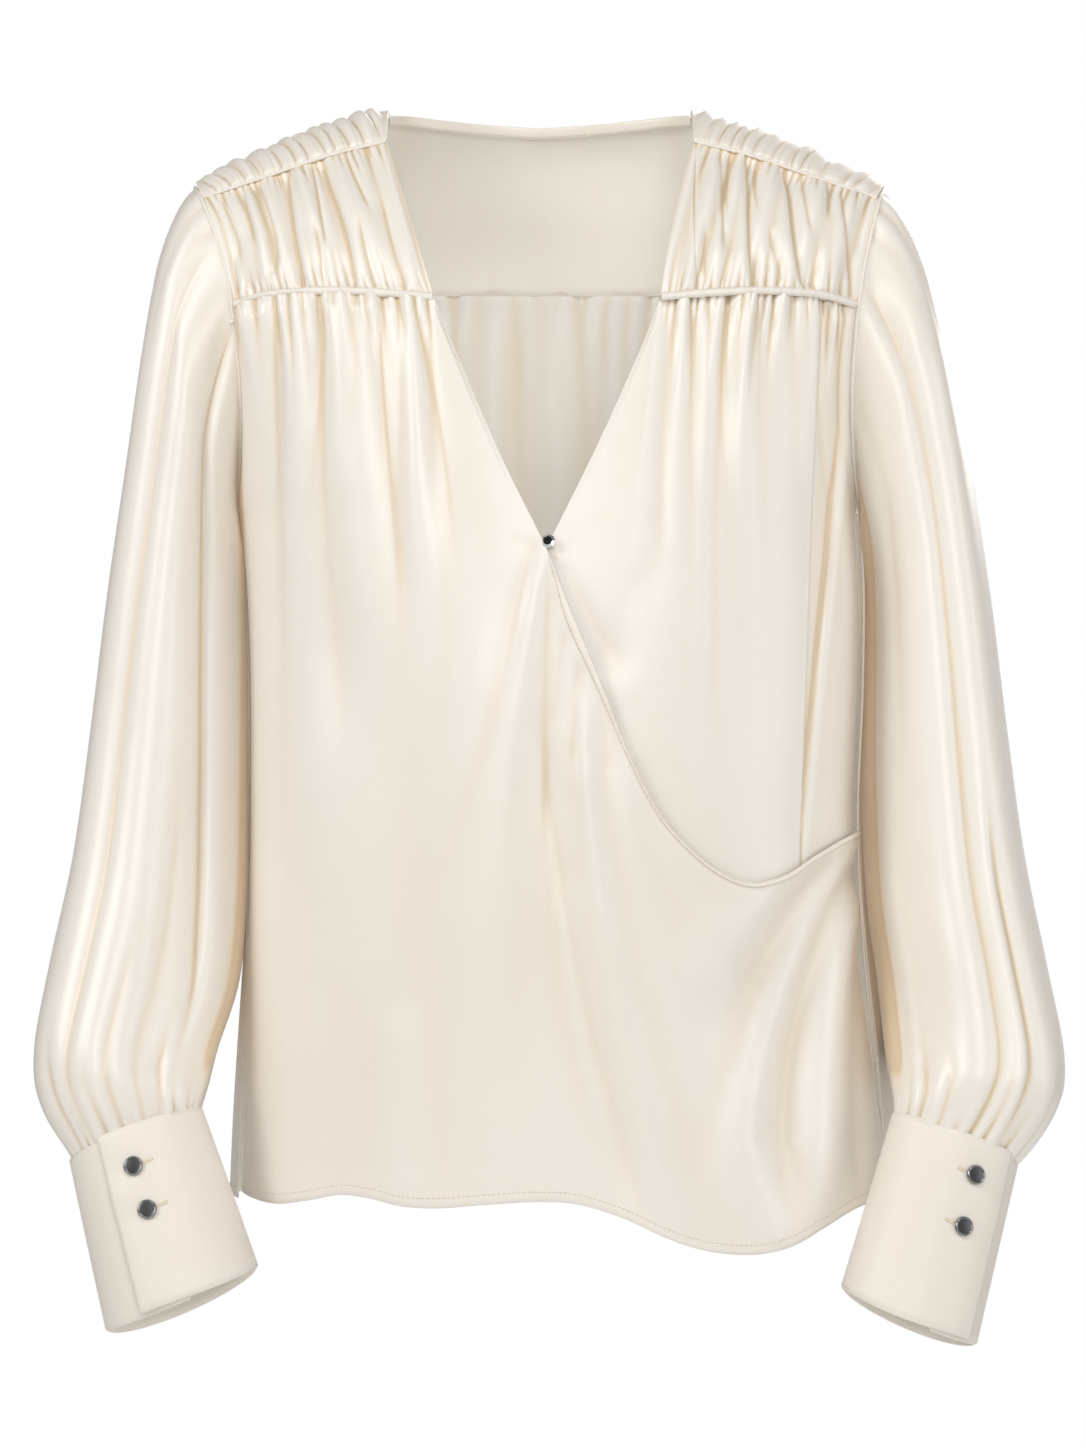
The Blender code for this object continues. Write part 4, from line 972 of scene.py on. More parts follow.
def back_points(q, share, lift=0.0):
    z = mix(BACK_SEAM_Z - 2 * SEAM_GAP, BACK_HEM_Z, share)
    base, normals = body_point(q, z, 1), body_normal(q, z, 1)
    if base.ndim == 3:
        base, normals = settle(base), unit(settle(normals))
    drop = share * (BACK_SEAM_Z - BACK_HEM_Z)
    along = (q + 1) / 2 * BACK_SEAM_LENGTH
    height = fold_height(BACK_FOLDS, base[..., 0], z)
    height += gathers(along, drop, BACK_SEAM_LENGTH, BACK_GATHERS, 50)
    height += puff(drop, *BACK_PUFF)
    corner = np.exp(-((np.abs(q) - CORNER_Q) / CORNER_WIDTH) ** 2)
    height += BACK_CORNER_FLARE * corner * ease((share - 0.45) / 0.5)
    beside = np.exp(-((q - BULGE_Q) / BULGE_WIDTH) ** 2)
    height += BACK_SIDE_BULGE * beside * ease((UNDERARM_Z - z) / 60) * ease((z - BACK_HEM_Z) / 60)
    height = height * side_fade(q, z) + lift
    return base + normals * height[..., None]


def back_grid(columns, rows):
    q = np.linspace(-1, 1, columns)[None, :]
    return back_points(*np.broadcast_arrays(q, row_shares(rows)))


made["back_lower"] = cloth("wrap_back", back_grid(*BACK_GRID), BODY_AXIS, face_finish)

# %% [markdown]
# ## Yokes and shoulder bands
#
# A yoke is a patch between four edges: the band, the corded seam, the armhole and the
# neckline. A patch of this kind blends each pair of opposite edges and takes the corners
# away once, so that all four edges are met exactly. The front yokes are gathered at both
# ends, and some of the pleats run from one end to the other. The bands over the shoulders are
# strips drawn up on two threads, so they stand in slanting rolls of uneven height.

# %% Patch between four edges
def patch(top, bottom, start, end, p, r):
    ruled, corner_start, corner_end = (
        mix(top(at), bottom(at), r[..., None]) for at in (p, p * 0, p * 0 + 1))
    return ruled + (start(r) - corner_start) * (1 - p)[..., None] + (end(r) - corner_end) * p[..., None]


def towards(grid, direction):
    """Normals of an open grid, turned to the side of a direction."""
    normals = grid_normals(grid, False)
    return normals if np.sum(normals @ np.array(direction, float)) > 0 else -normals


def shoulder_point(share, side, edge):
    x, z = read(SHOULDER, "share", "x z_" + edge, share)
    if edge == "ridge":
        return points(side * (x + RIDGE_OVERHANG * (1 - share) ** 3), RIDGE_Y, z)
    return points(side * x, *read(SHOULDER, "share", "y_" + edge, share), z)


def neckline(share, side):
    """Inner edge of the front yoke, from the band down to the yoke seam."""
    one = np.ones(1)
    top, foot = shoulder_point(one, side, "front"), yoke_seam(one, side)
    mid = np.array(NECKLINE_MID) * (side, 1, 1)
    bend = mid - mix(top, foot, NECKLINE_MID_SHARE)
    share = np.asarray(share)[..., None]
    return mix(top, foot, share) + bend * (4 * share * (1 - share)) * NECKLINE_BEND


print("right neck point:", neckline(np.array([0.0]), -1)[0].round(1))

# %% Front yokes
YOKE_PLEATS = {
    # share along the band and along the cord, start, end, widths before and after in mm, height
    -1: [(0.09, 0.05, -0.1, 0.75, 5, 3.0, -1.8), (0.20, 0.17, -0.1, 0.60, 6, 2.5, -2.2),
         (0.31, 0.24, -0.1, 0.90, 6, 2.2, -3.0), (0.44, 0.36, -0.1, 1.10, 8, 1.8, -4.4),
         (0.52, 0.46, 0.40, 1.10, 4, 3.0, -2.0), (0.575, 0.52, -0.1, 0.75, 3, 1.8, -2.4),
         (0.66, 0.61, -0.1, 1.10, 8, 1.8, -4.2), (0.75, 0.71, 0.45, 1.10, 5, 2.5, -2.0),
         (0.78, 0.81, -0.1, 0.50, 3, 2.0, -2.2), (0.88, 0.86, 0.30, 1.10, 6, 3.0, -1.6)],
    1: [(0.19, 0.03, -0.1, 1.10, 6, 2.2, -2.4), (0.29, 0.12, -0.1, 0.40, 4, 2.5, -2.0),
        (0.40, 0.20, -0.1, 0.60, 5, 2.5, -1.8), (0.516, 0.27, -0.1, 1.10, 9, 2.0, -4.4),
        (0.65, 0.47, -0.1, 0.50, 4, 2.5, -2.0), (0.72, 0.52, -0.1, 1.10, 9, 2.0, -4.4),
        (0.80, 0.62, -0.1, 0.55, 4, 2.5, -2.2), (0.86, 0.64, -0.1, 0.80, 7, 2.2, -3.0),
        (0.62, 0.40, 0.50, 1.10, 4, 3.0, -1.8), (0.95, 0.74, 0.45, 1.10, 4, 4.0, -1.4)]}
YOKE_ROLL, YOKE_ROLLS = 1.2, 5.5
YOKE_GATHERS = [(4.4, 1.1, 6), (8.6, 1.5, 12)]
# the gathers are full beside the armhole and weaker from this share of the width on
INNER_GATHERS, INNER_GATHERS_FROM = 0.45, 0.35
PLEAT_SWAY = 0.012
YOKE_WIDTH, YOKE_DEPTH = 118.0, 84.0
YOKE_SWELL = 4.6
YOKE_GRID = (200, 46)
# the line of the left yoke's facing, as shares of the width at the band and at the cord
FACING_LINE, FACING_DEPTH, FACING_WIDTH = (0.985, 0.80), 0.55, 0.006
# shade at the band, at the cord and at the armhole, each with its reach as a share
YOKE_SHADES = {"band": (0.6, 0.04), "cord": (0.35, 0.03), "armhole": (0.5, 0.012)}


def front_yoke_grid(side):
    p, r = unit_square(*YOKE_GRID)
    inset = np.array([0, 0, 2 * SEAM_GAP])
    cord = np.array([0, 0.3, CORD_TUCK])

    def turned(t):
        return cord * t[..., None] - inset * (1 - t)[..., None]

    base = patch(lambda t: shoulder_point(t, side, "front") - inset,
                 lambda t: yoke_seam(t, side) + cord,
                 lambda t: armhole(mix(FRONT_BAND_TURN, FRONT_YOKE_TURN, t), side) + turned(t),
                 lambda t: neckline(t, side) + turned(t), p, r)
    height = np.zeros_like(p)
    for drop, salt in ((r * YOKE_DEPTH, 70), ((1 - r) * YOKE_DEPTH, 90)):
        height += gathers(p * YOKE_WIDTH, drop, YOKE_WIDTH, YOKE_GATHERS, salt + side)
    height *= mix(INNER_GATHERS, 1.0, ease((1 - p) / INNER_GATHERS_FROM))
    for number, row in enumerate(YOKE_PLEATS[side]):
        by_band, by_cord, start, end, before, after, size = row
        centre = mix(by_band, by_cord, r) + PLEAT_SWAY * np.sin(5 * r + 3 * number + side)
        away = (p - centre) * YOKE_WIDTH
        shape = fold_shape(away / np.where(away < 0, before, after), size)
        height += size * ease((r - start) / 0.2) * ease((end - r) / 0.2) * shape
    slow = p * YOKE_ROLLS + 0.5 * drift(p * 6 + 1, 33 + side) + 0.2 * drift(r * 2.2 + 3, 34 + side)
    height += YOKE_ROLL * np.cos(2 * np.pi * slow)
    edges = np.minimum(p, 1 - p)
    height *= ease(edges / 0.035) * mix(0.2, 1.0, ease(np.minimum(r, 1 - r) / 0.05))
    height += YOKE_SWELL * np.sin(np.pi * r) ** 0.7 * np.sin(np.pi * np.clip(p, 0.02, 0.98)) ** 0.5
    if side > 0:
        line = mix(*FACING_LINE, r)
        height -= FACING_DEPTH * np.exp(-((p - line) / FACING_WIDTH) ** 2)
    return base + towards(base, (0, -1, 0.4)) * height[..., None]


def yoke_axis(side):
    return (side * 40, 30, -90), (side * 220, 30, -120)


def yoke_shade():
    """Narrow shades below the band, above the cord and beside the sleeve."""
    p, r = unit_square(*YOKE_GRID)
    return sum(depth * np.exp(-away / reach)
               for away, (depth, reach) in zip((r, 1 - r, p), YOKE_SHADES.values()))


for side, word in WORDS.items():
    made["front_yoke_" + word] = cloth("wrap_yoke_" + word, front_yoke_grid(side),
                                       yoke_axis(side), face_finish, shade=yoke_shade())

# %% Shoulder bands
BAND_FOLDS = 12
BAND_SLANT = 2.6
BAND_ROLL = {-1: 4.9, 1: 3.9}
BAND_PLAIN_END = 1.6
BAND_END_DROP = 0.24
BAND_GRID = (280, 28)
BAND_SMALL_ROLL = 0.8
# how far the rolls wander, in shares of their spacing, and how their sizes vary
BAND_WANDER = 0.42
BAND_SIZE_BASE, BAND_SIZE_MORE = 0.55, 0.75
BAND_SHARPNESS, BAND_TROUGH = 0.65, 0.40


def band_grid(side):
    p, r = unit_square(*BAND_GRID)
    front, ridge, back = (shoulder_point(p, side, edge) for edge in ("front", "ridge", "back"))
    arch = np.maximum(np.sin(np.pi * r), 0)
    by_neck = 1 - BAND_END_DROP * ease((p - 0.90) / 0.10)
    rise = (ridge - mix(front, back, 0.5)) * (by_neck * arch ** 0.75)[..., None]
    outward = unit(points(0 * r, 1.6 * (r - 0.5), 1.0))
    place = p * BAND_FOLDS + BAND_SLANT * (r - 0.5)
    place = place + BAND_WANDER * drift(place * 0.9 + 4, 61 + side) + 0.15 * np.sin(4 * r + 9 * p)
    size = BAND_SIZE_BASE + BAND_SIZE_MORE * wobble(np.round(place), 62 + side)
    ends = ease(p * BAND_FOLDS / 0.8) * ease((1 - p) * BAND_FOLDS / BAND_PLAIN_END)
    big = mix(0.30, 1.0, arch ** 0.7) * BAND_ROLL[side] * (size * roll(place, BAND_SHARPNESS) - BAND_TROUGH)
    second = place * 2 + 0.5 * drift(place * 1.7, 66 + side) + 0.5 * r
    small = BAND_SMALL_ROLL * (roll(second, 0.6) - 0.7) * (1 - 0.5 * arch)
    height = (big + small) * ends + 0.5
    return mix(front, back, r[..., None]) + rise + outward * height[..., None]


for side, word in WORDS.items():
    made["shoulder_band_" + word] = cloth("wrap_band_" + word, band_grid(side),
                                          yoke_axis(side), face_finish, wall=BAND_WALL)

# %% Back yoke and neck binding
BACK_BAND_SHARE = 9 / 32
BACK_YOKE_SWELL = 4.5
BACK_YOKE_GATHERS = [(6.4, 0.30, 4)]
BACK_YOKE_DEPTH = 95.0
BACK_YOKE_GRID = (170, 36)
BINDING_DEPTH, BINDING_STEP, BINDING_LEAN = 6.2, 0.5, 0.10
BINDING_GRID = (120, 7)
BINDING_AXIS = ((-100, 200, 10), (100, 200, 10))


def back_neck(share):
    """Back neck edge from the right neck point to the left one."""
    t = 2 * np.asarray(share) - 1
    places = points(BACK_NECK["x"], BACK_NECK["y"], BACK_NECK["z"])
    span = np.concatenate([[0], np.cumsum(np.linalg.norm(np.diff(places, axis=0), axis=1))])
    at = span[-1] * (1 - np.abs(t))
    x, y, z = (curve(span, BACK_NECK[name], at) for name in "xyz")
    return points(np.where(t > 0, x, -x), y, z)


def back_yoke_grid(columns, rows):
    p, r = unit_square(columns, rows)
    shift, rise = np.array([0, 2.0, -SEAM_GAP]), np.array([0, 0, 2 * SEAM_GAP])

    def top(t):
        right = shoulder_point(np.minimum(t / BACK_BAND_SHARE, 1), -1, "back")
        left = shoulder_point(np.minimum((1 - t) / BACK_BAND_SHARE, 1), 1, "back")
        neck = back_neck(np.clip((t - BACK_BAND_SHARE) / (1 - 2 * BACK_BAND_SHARE), 0, 1))
        on_right, on_left = t < BACK_BAND_SHARE, t > 1 - BACK_BAND_SHARE
        return shift + np.where(on_right[..., None], right,
                                np.where(on_left[..., None], left, neck))

    def armhole_edge(side):
        return lambda t: (armhole(mix(BACK_BAND_TURN, BACK_YOKE_TURN, t), side)
                          + shift * (1 - t)[..., None] + rise * t[..., None])

    base = patch(top, lambda t: body_point(mix(-1.0, 1.0, t), t * 0 + BACK_SEAM_Z, 1) + rise,
                 armhole_edge(-1), armhole_edge(1), p, r)
    swell = BACK_YOKE_SWELL * np.maximum(np.sin(np.pi * r), 0) ** 0.8
    swell = swell * ease(p / 0.08) * ease((1 - p) / 0.08)
    swell = swell + gathers(p * BACK_SEAM_LENGTH, (1 - r) * BACK_YOKE_DEPTH, BACK_SEAM_LENGTH,
                            BACK_YOKE_GATHERS, 50)
    return base + swell[..., None] * np.array([0, 0.75, 0.55])


def binding_line(drop, lift, count):
    """A line along the neck binding, some way below the neck edge."""
    edge = back_neck(np.linspace(0.004, 0.996, count))
    inward = unit(points(-edge[:, 0] * 0.35, -edge[:, 1], 0))
    swell = 0.3 * max(np.sin(np.pi * drop / BINDING_DEPTH), 0) ** 0.5
    return edge + inward * (BINDING_STEP - BINDING_LEAN * drop + swell + lift) - np.array([0, 0, drop])


def neck_binding_grid(columns, rows):
    return np.array([binding_line(drop, 0, columns) for drop in np.linspace(0.2, BINDING_DEPTH, rows)])


made["back_yoke"] = cloth("wrap_back_yoke", back_yoke_grid(*BACK_YOKE_GRID), BODY_AXIS,
                          face_finish)
made["neck_binding"] = cloth("wrap_neck_binding", neck_binding_grid(*BINDING_GRID),
                             BINDING_AXIS, face_finish, wall=THIN_WALL)

# %% [markdown]
# ## Cuffs and sleeves
#
# The cuff is an open band: a tube between two ovals, rolled and pitched as the arm hangs,
# whose upper end lies over its lower end. The sleeve is a tube from the armhole loop to the
# cuff. It is full, so it hangs in long soft folds, and gathers of three sizes draw it in at
# the cuff. The folds turn a little round the sleeve on their way down.

# %% Cuffs
CUFFS = {
    # x y z of the middle, half width, half depth, roll and pitch in degrees
    "right": {"top": (226, -61, -556.5, 40, 31, 22, 12), "bottom": (199, -82, -645, 46, 38, 23, 19)},
    "left": {"top": (232, -63, -559, 38, 31, 22, 12), "bottom": (205, -85, -654, 41, 36, 23, 19)}}
CUFF_GRID = (160, 28)
CUFF_EDGE_TURN = {"right": 61, "left": 37}
CUFF_OVERLAP_TURN = 34
CUFF_FLAP_LIFT = 2.6
CUFF_FLAP_RISE = 0.02
CUFF_FRONT_DROP = 0.13
CUFF_FLAP_FLARE = 1.6
CUFF_WALL = 1.5
CUFF_BUTTONS = {"right": ((83, 0.25), (84, 0.52)), "left": ((68, 0.21), (67, 0.50))}
# how far the cloth is drawn in at each button, and how far it stands out between the two
BUTTON_DIMPLE, BETWEEN_BUTTONS = 0.45, 0.6
CUFF_WAVE = 0.35


def cuff_frame(side, edge):
    x, y, z, half_width, half_depth, roll, pitch = CUFFS[WORDS[side]][edge]
    roll, pitch = np.radians((roll, pitch))
    across = np.array([np.cos(roll), 0, -np.sin(roll)]) * half_width
    depth = np.array([0, np.cos(pitch), -np.sin(pitch)]) * half_depth
    return np.array([x, y, z]), across, depth


def cuff_ring(side, turn, down, lift=0.0):
    """Points round the cuff's tube: turn 0 is its outer side and 90 its front."""
    angle = np.radians(turn)[..., None]
    rings = []
    for edge in ("top", "bottom"):
        middle, across, depth = cuff_frame(side, edge)
        size = (np.linalg.norm(across) + np.linalg.norm(depth)) / 2
        grow = 1 + np.asarray(lift)[..., None] / size
        rings.append(middle + (across * np.cos(angle) - depth * np.sin(angle)) * grow)
    found = mix(rings[0], rings[1], np.asarray(down)[..., None])
    return found * np.array([side, 1, 1])


def cuff_surface(side, turn, down):
    """The band with its upper end lifted over the lower one, dimpled at each button."""
    turn, down = np.broadcast_arrays(np.asarray(turn, float), np.asarray(down, float))
    along = turn - CUFF_EDGE_TURN[WORDS[side]]
    flare = CUFF_FLAP_FLARE * ease(down) * (1 - ease(along / 50))
    lift = CUFF_FLAP_LIFT * (1 - ease(along / 80)) + flare
    for button_turn, button_down in CUFF_BUTTONS[WORDS[side]]:
        near = ((turn - button_turn) / 20) ** 2 + ((down - button_down) / 0.10) ** 2
        lift = lift - BUTTON_DIMPLE * np.exp(-near)
    between = np.mean([button[1] for button in CUFF_BUTTONS[WORDS[side]]])
    lift = lift + BETWEEN_BUTTONS * np.exp(-(along / 18) ** 2 - ((down - between) / 0.10) ** 2)
    lift = lift + CUFF_WAVE * drift(turn / 31 + 5, 80 + side) * np.sin(np.pi * down)
    front = np.maximum(np.sin(np.radians(turn)), 0)
    down = down + CUFF_FRONT_DROP * front * down ** 3 - CUFF_FLAP_RISE * (1 - ease(along / 80))
    return cuff_ring(side, turn, down, lift)


def cuff_grid(side, columns, rows):
    start = CUFF_EDGE_TURN[WORDS[side]]
    turn = np.linspace(start, start + 360 + CUFF_OVERLAP_TURN, columns)[None, :]
    down = np.linspace(0, 1, rows)[:, None]
    return cuff_surface(side, turn, down)


def cuff_axis(side):
    return [cuff_frame(side, edge)[0] * np.array([side, 1, 1]) for edge in ("top", "bottom")]


for side, word in WORDS.items():
    made["cuff_" + word] = cloth("wrap_cuff_" + word, cuff_grid(side, *CUFF_GRID),
                                 cuff_axis(side), cuff_finish, wall=CUFF_WALL)

# %% Sleeves
SLEEVE_COLUMNS = "x_out z_out x_in z_in y_mid half_depth"
SLEEVES = {
    -1: table(SLEEVE_COLUMNS, [
        (199, -22, 172, -207, 3, 53), (209, -34, 172, -216, 3, 58), (218, -66, 170, -231, 3, 65),
        (226, -112, 168.8, -252, 2, 70), (235, -176, 167.8, -285, 1, 73),
        (246, -254, 167.4, -330, -2, 74), (255, -330, 167.4, -378, -7, 74),
        (264, -400, 168.2, -428, -16, 74), (276, -460, 172, -474, -28, 74),
        (284, -510, 183, -511, -42, 68), (281, -540, 187, -529, -53, 57),
        (270, -560, 189, -537, -60, 44), (264, -570, 189, -541, -61, 34)]),
    1: table(SLEEVE_COLUMNS, [
        (199, -22, 181, -207, 3, 53), (210, -34, 183, -216, 3, 58), (221, -66, 186, -231, 3, 65),
        (232, -112, 187.5, -252, 2, 70), (244, -176, 188, -285, 1, 73),
        (256, -254, 187, -330, -2, 74), (265, -330, 187, -378, -7, 74),
        (274, -400, 189, -428, -16, 74), (285, -460, 195, -474, -30, 73),
        (294, -512, 198, -512, -44, 66), (291, -541, 199, -530, -54, 56),
        (280, -562, 199, -539, -61, 43), (268, -573, 197, -543, -63, 33)])}
ARMHOLE_STEP = 1.9
# the end of the sleeve is tucked into the cuff: how far down, in shares, and in, in mm
TUCK_DOWN, TUCK_IN = 0.030, -3.2
SLEEVE_SKEW = -34.0
# power of the section on its outer and its inner side: the inner side is squarer
SLEEVE_SQUARE = (0.85, 0.55)
SLEEVE_END_PITCH = 0.24
SLEEVE_LENGTH = 560.0
SLEEVE_GRID = (264, 114)
SLEEVE_FOLD_SWAY = 2.0
# how far round the armhole the gathers of the head reach, and over how many degrees they fade
HEAD_REACH, HEAD_FADE = 40.0, 40.0
# from the armhole, over how many mm the folds set in; at the cuff, how many mm stay plain
# and over how many they set in
HEAD_RISE, CUFF_CLEAR, CUFF_RISE = 14.0, 4.0, 12.0
# the turns between which a sleeve faces the body, and the shade at the armhole
INNER_TURNS = (148, 192)
ARMHOLE_SHADE, ARMHOLE_SHADE_REACH = 0.4, 0.006
# the columns of the grid turn with the folds, so that the folds run along them
COLUMN_END_TURNS = (0, 66, 90, 150, 178, 213, 300, 360)
COLUMN_TOP_TURNS = {-1: (0, 75, 92, 111, 162, 213, 300, 360),
                    1: (0, 66, 90, 150, 178, 213, 300, 360)}
SLEEVE_TURN_SHIFT = 7
SLEEVE_FOLDS = {
    # turn at the top and at the end, start, end, widths in degrees before and after, height
    -1: [(32, 36, 0.15, 0.92, 14, 14, 1.6), (68, 59, 0.02, 0.98, 12, 26, -5.0),
         (90, 84, 0.10, 0.92, 16, 18, 2.4), (104, 143, -0.03, 0.80, 18, 3.6, -7.0),
         (93, 89, 0.60, 0.98, 9, 7, -2.2), (113, 111, 0.45, 0.98, 9, 14, -3.0),
         (134, 131, 0.68, 0.98, 10, 5, -3.0), (48, 42, 0.70, 0.98, 7, 5, -2.6)],
    1: [(36, 36, 0.15, 0.92, 14, 14, 1.6), (53, 47, 0.50, 0.98, 14, 5, -4.6),
        (70, 75, 0.00, 0.98, 20, 8, -5.4), (95, 94, 0.10, 0.92, 16, 18, 2.4),
        (118, 116, 0.00, 0.60, 14, 16, -1.8), (104, 104, 0.74, 0.98, 8, 6, -2.4),
        (130, 128, 0.70, 0.98, 8, 5, -2.6)]}
BACK_SLEEVE_FOLDS = [
    (164, 172, 0.05, 0.94, 12, 14, 2.6),
    (205, 205, 0.20, 0.92, 9, 5, -5.0), (234, 232, 0.06, 0.95, 10, 10, 3.4),
    (258, 262, 0.02, 0.93, 9, 4, -6.5), (286, 284, 0.15, 0.94, 10, 10, 3.0),
    (312, 306, -0.05, 0.93, 10, 4, -6.5), (338, 336, 0.15, 0.90, 11, 11, 2.8)]
SLEEVE_GATHERS = [
    # how many round the cuff, height, reach
    (44, 2.6, 12), (29, 2.8, 24), (13, 1.8, 70)]
SLEEVE_HEAD = [(36, 0.7, 10), (17, 1.4, 60)]
RING_WARP = 0.22
CUFF_PUFF = 2.6


def sleeve_point(side, turn, v):
    rings = SLEEVES[side]
    steps = np.arange(len(rings["x_out"]))
    x_out, z_out, x_in, z_in, y_mid, half_depth = (
        curve(steps, rings[name], v * steps[-1]) for name in SLEEVE_COLUMNS.split())
    angle = np.radians(turn)
    across = np.cos(angle)
    x, z = mix(x_in, x_out, (across + 1) / 2), mix(z_in, z_out, (across + 1) / 2)
    skew = SLEEVE_SKEW * (1 - across) / 2 * ease(v * 3) * ease((1 - v) * 3)
    z = z + half_depth * np.sin(angle) * SLEEVE_END_PITCH * ease((v - 0.55) / 0.4)
    power = mix(*SLEEVE_SQUARE, (1 - across) / 2)
    bulge = np.sign(np.sin(angle)) * np.abs(np.sin(angle)) ** power
    ring = points(side * x, y_mid - half_depth * bulge - skew, z)
    loop = armhole(turn, side) + np.array([side * ARMHOLE_STEP, 0, 0])
    end = cuff_ring(side, turn, TUCK_DOWN + 0 * v, TUCK_IN + 0 * v)
    found = mix(loop, ring, ease(v * 6)[..., None])
    return mix(found, end, ease((v - 0.80) / 0.20)[..., None])


def ring_puckers(turn, distance, count, size, reach, salt):
    """Gathers round a closed tube: a whole number of them, none quite regular."""
    spin = np.radians(turn)
    warp = sum(RING_WARP * np.sin(k * spin + 6.28 * wobble(float(k), salt)) for k in (2, 3, 5, 7))
    phase = turn / 360 * count + warp
    index = np.mod(np.round(phase), count)
    return crests(phase, index, distance, size, reach, salt, RING_VARIETY)


def fold_way(v):
    """Share of its turning that a long fold has done at v: most of it near the top."""
    return 1 - (1 - np.clip(v, 0, 1)) ** 2.2


def sleeve_height(side, turn, v):
    height = np.zeros_like(v)
    for top_turn, end_turn, start, end, before, after, size in SLEEVE_FOLDS[side] + BACK_SLEEVE_FOLDS:
        centre = mix(top_turn, end_turn, fold_way(v)) + side * SLEEVE_TURN_SHIFT
        centre = centre + SLEEVE_FOLD_SWAY * np.sin(5 * v + top_turn + side)
        away = np.mod(turn - centre + 180, 360) - 180
        width = np.where(away < 0, before, after) * mix(0.7, 1.1, ease(v * 1.5))
        fade = ease((v - start) / 0.12) * ease((end - v) / 0.20)
        height += size * fade * fold_shape(away / width, size)
    to_cuff, to_head = (1 - v) * SLEEVE_LENGTH, v * SLEEVE_LENGTH
    for k, row in enumerate(SLEEVE_GATHERS):
        height += ring_puckers(turn, to_cuff, *row, 110 + 10 * k + side)
    head = 1 - ease((np.abs(np.mod(turn + 180, 360) - 180) - HEAD_REACH) / HEAD_FADE)
    for k, row in enumerate(SLEEVE_HEAD):
        height += head * ring_puckers(turn, to_head, *row, 140 + 10 * k + side)
    height = height * mix(0.25, 1.0, ease(to_head / HEAD_RISE))
    return (height + CUFF_PUFF * np.exp(-to_cuff / 25)) * ease((to_cuff - CUFF_CLEAR) / CUFF_RISE)


def sleeve_axis(side):
    return (side * 205, 0, -130), (side * 235, -30, -520)


def sleeve_turns(side):
    """The turn and the share down the sleeve of every point of its grid."""
    columns, rows = SLEEVE_GRID
    end_turn = np.arange(columns) * 360.0 / columns
    top_turn = curve(COLUMN_END_TURNS, COLUMN_TOP_TURNS[side], end_turn)
    v = np.linspace(0, 1, rows)
    v = (v - 0.04 * np.sin(2 * np.pi * v) + 0.02 * np.sin(4 * np.pi * v))[:, None]
    return np.broadcast_arrays(mix(top_turn[None, :], end_turn[None, :], fold_way(v)), v)


def sleeve_grid(side):
    turn, v = sleeve_turns(side)
    base = sleeve_point(side, turn, v)
    normals = grid_normals(base, True)
    middle = base.mean(axis=1, keepdims=True)
    if np.sum(normals * (base - middle)) < 0:
        normals = -normals
    return base + normals * sleeve_height(side, turn, v)[..., None]


def sleeve_shade(side):
    """Deep where the sleeve faces the body, and in a thin line along the armhole."""
    turn, v = sleeve_turns(side)
    inner = ease((turn - INNER_TURNS[0]) / 14) * ease((INNER_TURNS[1] - turn) / 10)
    return np.maximum(inner * ease((0.88 - v) / 0.15), ARMHOLE_SHADE * np.exp(-v / ARMHOLE_SHADE_REACH))


for side, word in WORDS.items():
    made["sleeve_" + word] = cloth("wrap_sleeve_" + word, sleeve_grid(side), sleeve_axis(side),
                                   face_finish, closed=True, shade=sleeve_shade(side))

# %% [markdown]
# ## Cords, piping and seam rolls
#
# A cord follows a seam, so it is made by Geometry Nodes: the seam's curve is resampled, its
# radius swells and shrinks a little with a seeded noise, as satin does when it is drawn
# round a cord, and a round profile is carried along it. The same tree makes the thick piping
# in the yoke seams, the drawn edges of the bands, the thin rolls of the armholes, the back
# seam and the side seams, and later the thread of the buttonholes and of the button loop.

# %% Cord tree
def input_named(tree, name):
    """A tree input's identifier, which is what a modifier's value is set by."""
    return next(item.identifier for item in tree.interface.items_tree
                if item.name == name and item.in_out == "INPUT")


def new_tree(name, inputs):
    tree = bpy.data.node_groups.new(name, "GeometryNodeTree")
    tree.is_modifier = True
    tree.interface.new_socket("Geometry", in_out="INPUT", socket_type="NodeSocketGeometry")
    for label, kind, value in inputs:
        item = tree.interface.new_socket(label, in_out="INPUT", socket_type="NodeSocket" + kind)
        if value is not None:
            item.default_value = value
    tree.interface.new_socket("Geometry", in_out="OUTPUT", socket_type="NodeSocketGeometry")
    return tree, tree.nodes.new("NodeGroupInput"), tree.nodes.new("NodeGroupOutput")


